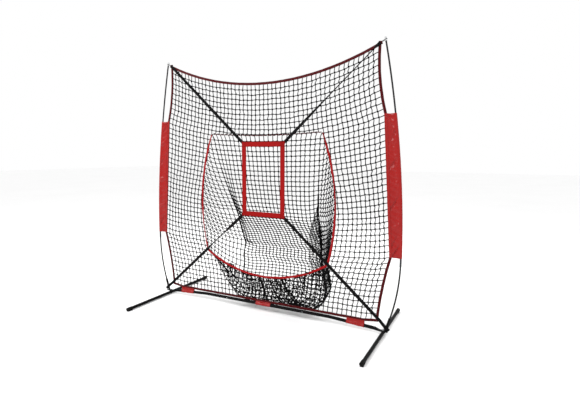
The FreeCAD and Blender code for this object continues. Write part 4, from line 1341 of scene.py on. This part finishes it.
def pole_sleeve(side):
    """Red cloth sewn to the net's side and closed round the bow."""
    name = "pole_sleeve_" + side_name(side)
    web, pole = sleeve_web(side)
    n, m = web.shape[:2]
    away = pole[:, None] - web[..., 0]
    half = np.minimum(0.0017 + 0.0072 * smooth(1 - away / 0.042), SLEEVE_R)
    fade = 1 - smooth(1 - away / 0.016)
    front, back = web.copy(), web.copy()
    front[..., 1] = web[..., 1] * fade - half
    back[..., 1] = web[..., 1] * fade + half
    angle = np.linspace(-math.pi / 2, math.pi / 2, 11)[1:-1]
    r = SLEEVE_R + 0.0004 * wander(web[:, 0, 2], 1.0, (0.03, 0.09), 75)[:, None]
    outer = np.stack([pole[:, None] + r * np.cos(angle), r * np.sin(angle), web[:, -1:, 2] + 0 * angle], -1)
    grid = np.concatenate([front, outer, back[:, ::-1]], 1) * (side, 1, 1)
    shape, thread = Shape(), Shape()
    cloth(shape, grid, TAPE_T)
    total = grid.shape[1]
    for column, way in ((1, FRONT), (total - 2, BACK)):
        stitches(thread, grid[:, column] + way * STITCH_LIFT, way)
    for row in (2, 4, n - 5, n - 3):
        for part, way in ((slice(0, m), FRONT), (slice(total - m, total), BACK)):
            stitches(thread, grid[row, part] + way * STITCH_LIFT, way)
    piece = sewn(name, "_cloth", shape, thread, (RED_CLOTH, RED_THREAD), "red_cloth")


BAR_END_Z = 0.0433
BAR_MIDDLE_Z = 0.0653
BAR_BEND_X = 0.590
CRUSH_X = 0.955
TAB_HALF = 0.070
TAB_R = 0.0144
HEM_TOP = 0.088


def bar_tab(place, x_middle, seed):
    """Cloth round the bar with both ends sewn over the hem."""
    x = np.linspace(-TAB_HALF, TAB_HALF, 48)
    fall = (BAR_MIDDLE_Z - BAR_END_Z) / (CRUSH_X - BAR_BEND_X) if x_middle else 0.0
    axis_z = BAR_MIDDLE_Z - fall * (abs(x_middle) - BAR_BEND_X) - fall * x * np.sign(x_middle)
    loose = TAB_R + 0.0009 * wander(x, 1.0, (0.02, 0.05), seed)
    ripple = np.linspace(math.radians(112), math.radians(428), 33) * 3 + (5 * x / TAB_HALF)[:, None]
    r = loose[:, None] + 0.0006 * np.sin(ripple)
    # down the front, round under the bar and up the back
    theta = np.linspace(math.radians(110), math.radians(430), 33)
    ring = np.stack([r * np.cos(theta), axis_z[:, None] + r * np.sin(theta)], -1)
    start = np.array([(-0.0046, HEM_TOP + 0.001), (-0.0044, HEM_TOP - 0.004), (-0.0044, HEM_TOP - 0.010)])
    start, finish = (np.tile(end, (len(x), 1, 1)) for end in (start, start[::-1] * (-1, 1)))
    section = np.concatenate([start, ring, finish], 1)
    grid = np.stack([np.broadcast_to((x_middle + x)[:, None], r.shape[:1] + section.shape[1:2]),
                     section[..., 0], section[..., 1]], -1)
    shape, thread = Shape(), Shape()
    cloth(shape, grid, 0.0010)
    last = grid.shape[1] - 1
    for column, way in ((0, FRONT), (2, FRONT), (last, BACK), (last - 2, BACK)):
        drop = -0.001 if column in (0, last) else 0
        stitches(thread, grid[:, column] + way * 0.0006 + (0, 0, drop), way)
    piece = sewn("bar_tab_" + place, "_cloth", shape, thread, (RED_CLOTH, RED_THREAD), "red_cloth")


for way in (-1, 1):
    pole_sleeve(way)
bar_tab("middle", 0.0, 81)
bar_tab("left", -0.805, 83)
bar_tab("right", 0.805, 85)


# --- floor, light and camera --------------------------------------------------------------

def floor():
    """A white floor that the object stands on."""
    mesh = bpy.data.meshes.new("floor")
    mesh.from_pydata([(-30, -30, 0), (30, -30, 0), (30, 30, 0), (-30, 30, 0)], [], [(0, 1, 2, 3)])
    look = Look("floor", roughness=0.9)
    cloud = look.noise(look.place(), 0.7, 3.0)
    stops = [(0.3, (0.955, 0.955, 0.955, 1)), (0.7, (0.975, 0.975, 0.975, 1))]
    look.feed(look.shader, {"Base Color": look.colour(cloud, stops)})
    mesh.materials.append(look.material)
    add_object("floor", mesh)


def studio():
    """White surroundings and three square lamps aimed at the middle of the net."""
    world = bpy.data.worlds.new("studio")
    bpy.context.scene.world = world
    world.use_nodes = True
    background = world.node_tree.nodes["Background"]
    background.inputs["Color"].default_value = (1, 1, 1, 1)
    background.inputs["Strength"].default_value = 1.0
    for name, place, size, power in (
        ("key_light", (-2.6, -3.4, 4.2), 2.4, 210.0),
        ("fill_light", (3.6, -2.6, 2.6), 3.0, 30.0),
        ("back_light", (0.5, 3.2, 3.6), 3.0, 60.0),
    ):
        light = bpy.data.lights.new(name, "AREA")
        light.shape, light.size, light.energy = "SQUARE", size, power
        lamp = add_object(name, light)
        lamp.location = place
        aim = Vector((0, 0, 0.9)) - Vector(place)
        lamp.rotation_euler = aim.to_track_quat("-Z", "Y").to_euler()


def camera():
    """Seen from in front, a little to the right and above the middle."""
    azimuth, elevation, roll = (math.radians(a) for a in (26.62, 6.28, 0.30))
    data = bpy.data.cameras.new("camera")
    data.sensor_width, data.lens, data.clip_end = 36.0, 26.17, 200.0
    piece = add_object("camera", data)
    level = math.cos(elevation)
    ahead = Vector((-math.sin(azimuth) * level, math.cos(azimuth) * level, -math.sin(elevation)))
    side = Vector((math.cos(azimuth), math.sin(azimuth), 0))
    up = side.cross(ahead)
    right = side * math.cos(roll) + up * math.sin(roll)
    above = up * math.cos(roll) - side * math.sin(roll)
    turned = Matrix((right, above, -ahead)).transposed().to_4x4()
    piece.matrix_world = Matrix.Translation((1.736, -2.974, 1.328)) @ turned
    bpy.context.scene.camera = piece


floor()
studio()
camera()
bpy.context.scene.view_settings.view_transform = "Standard"
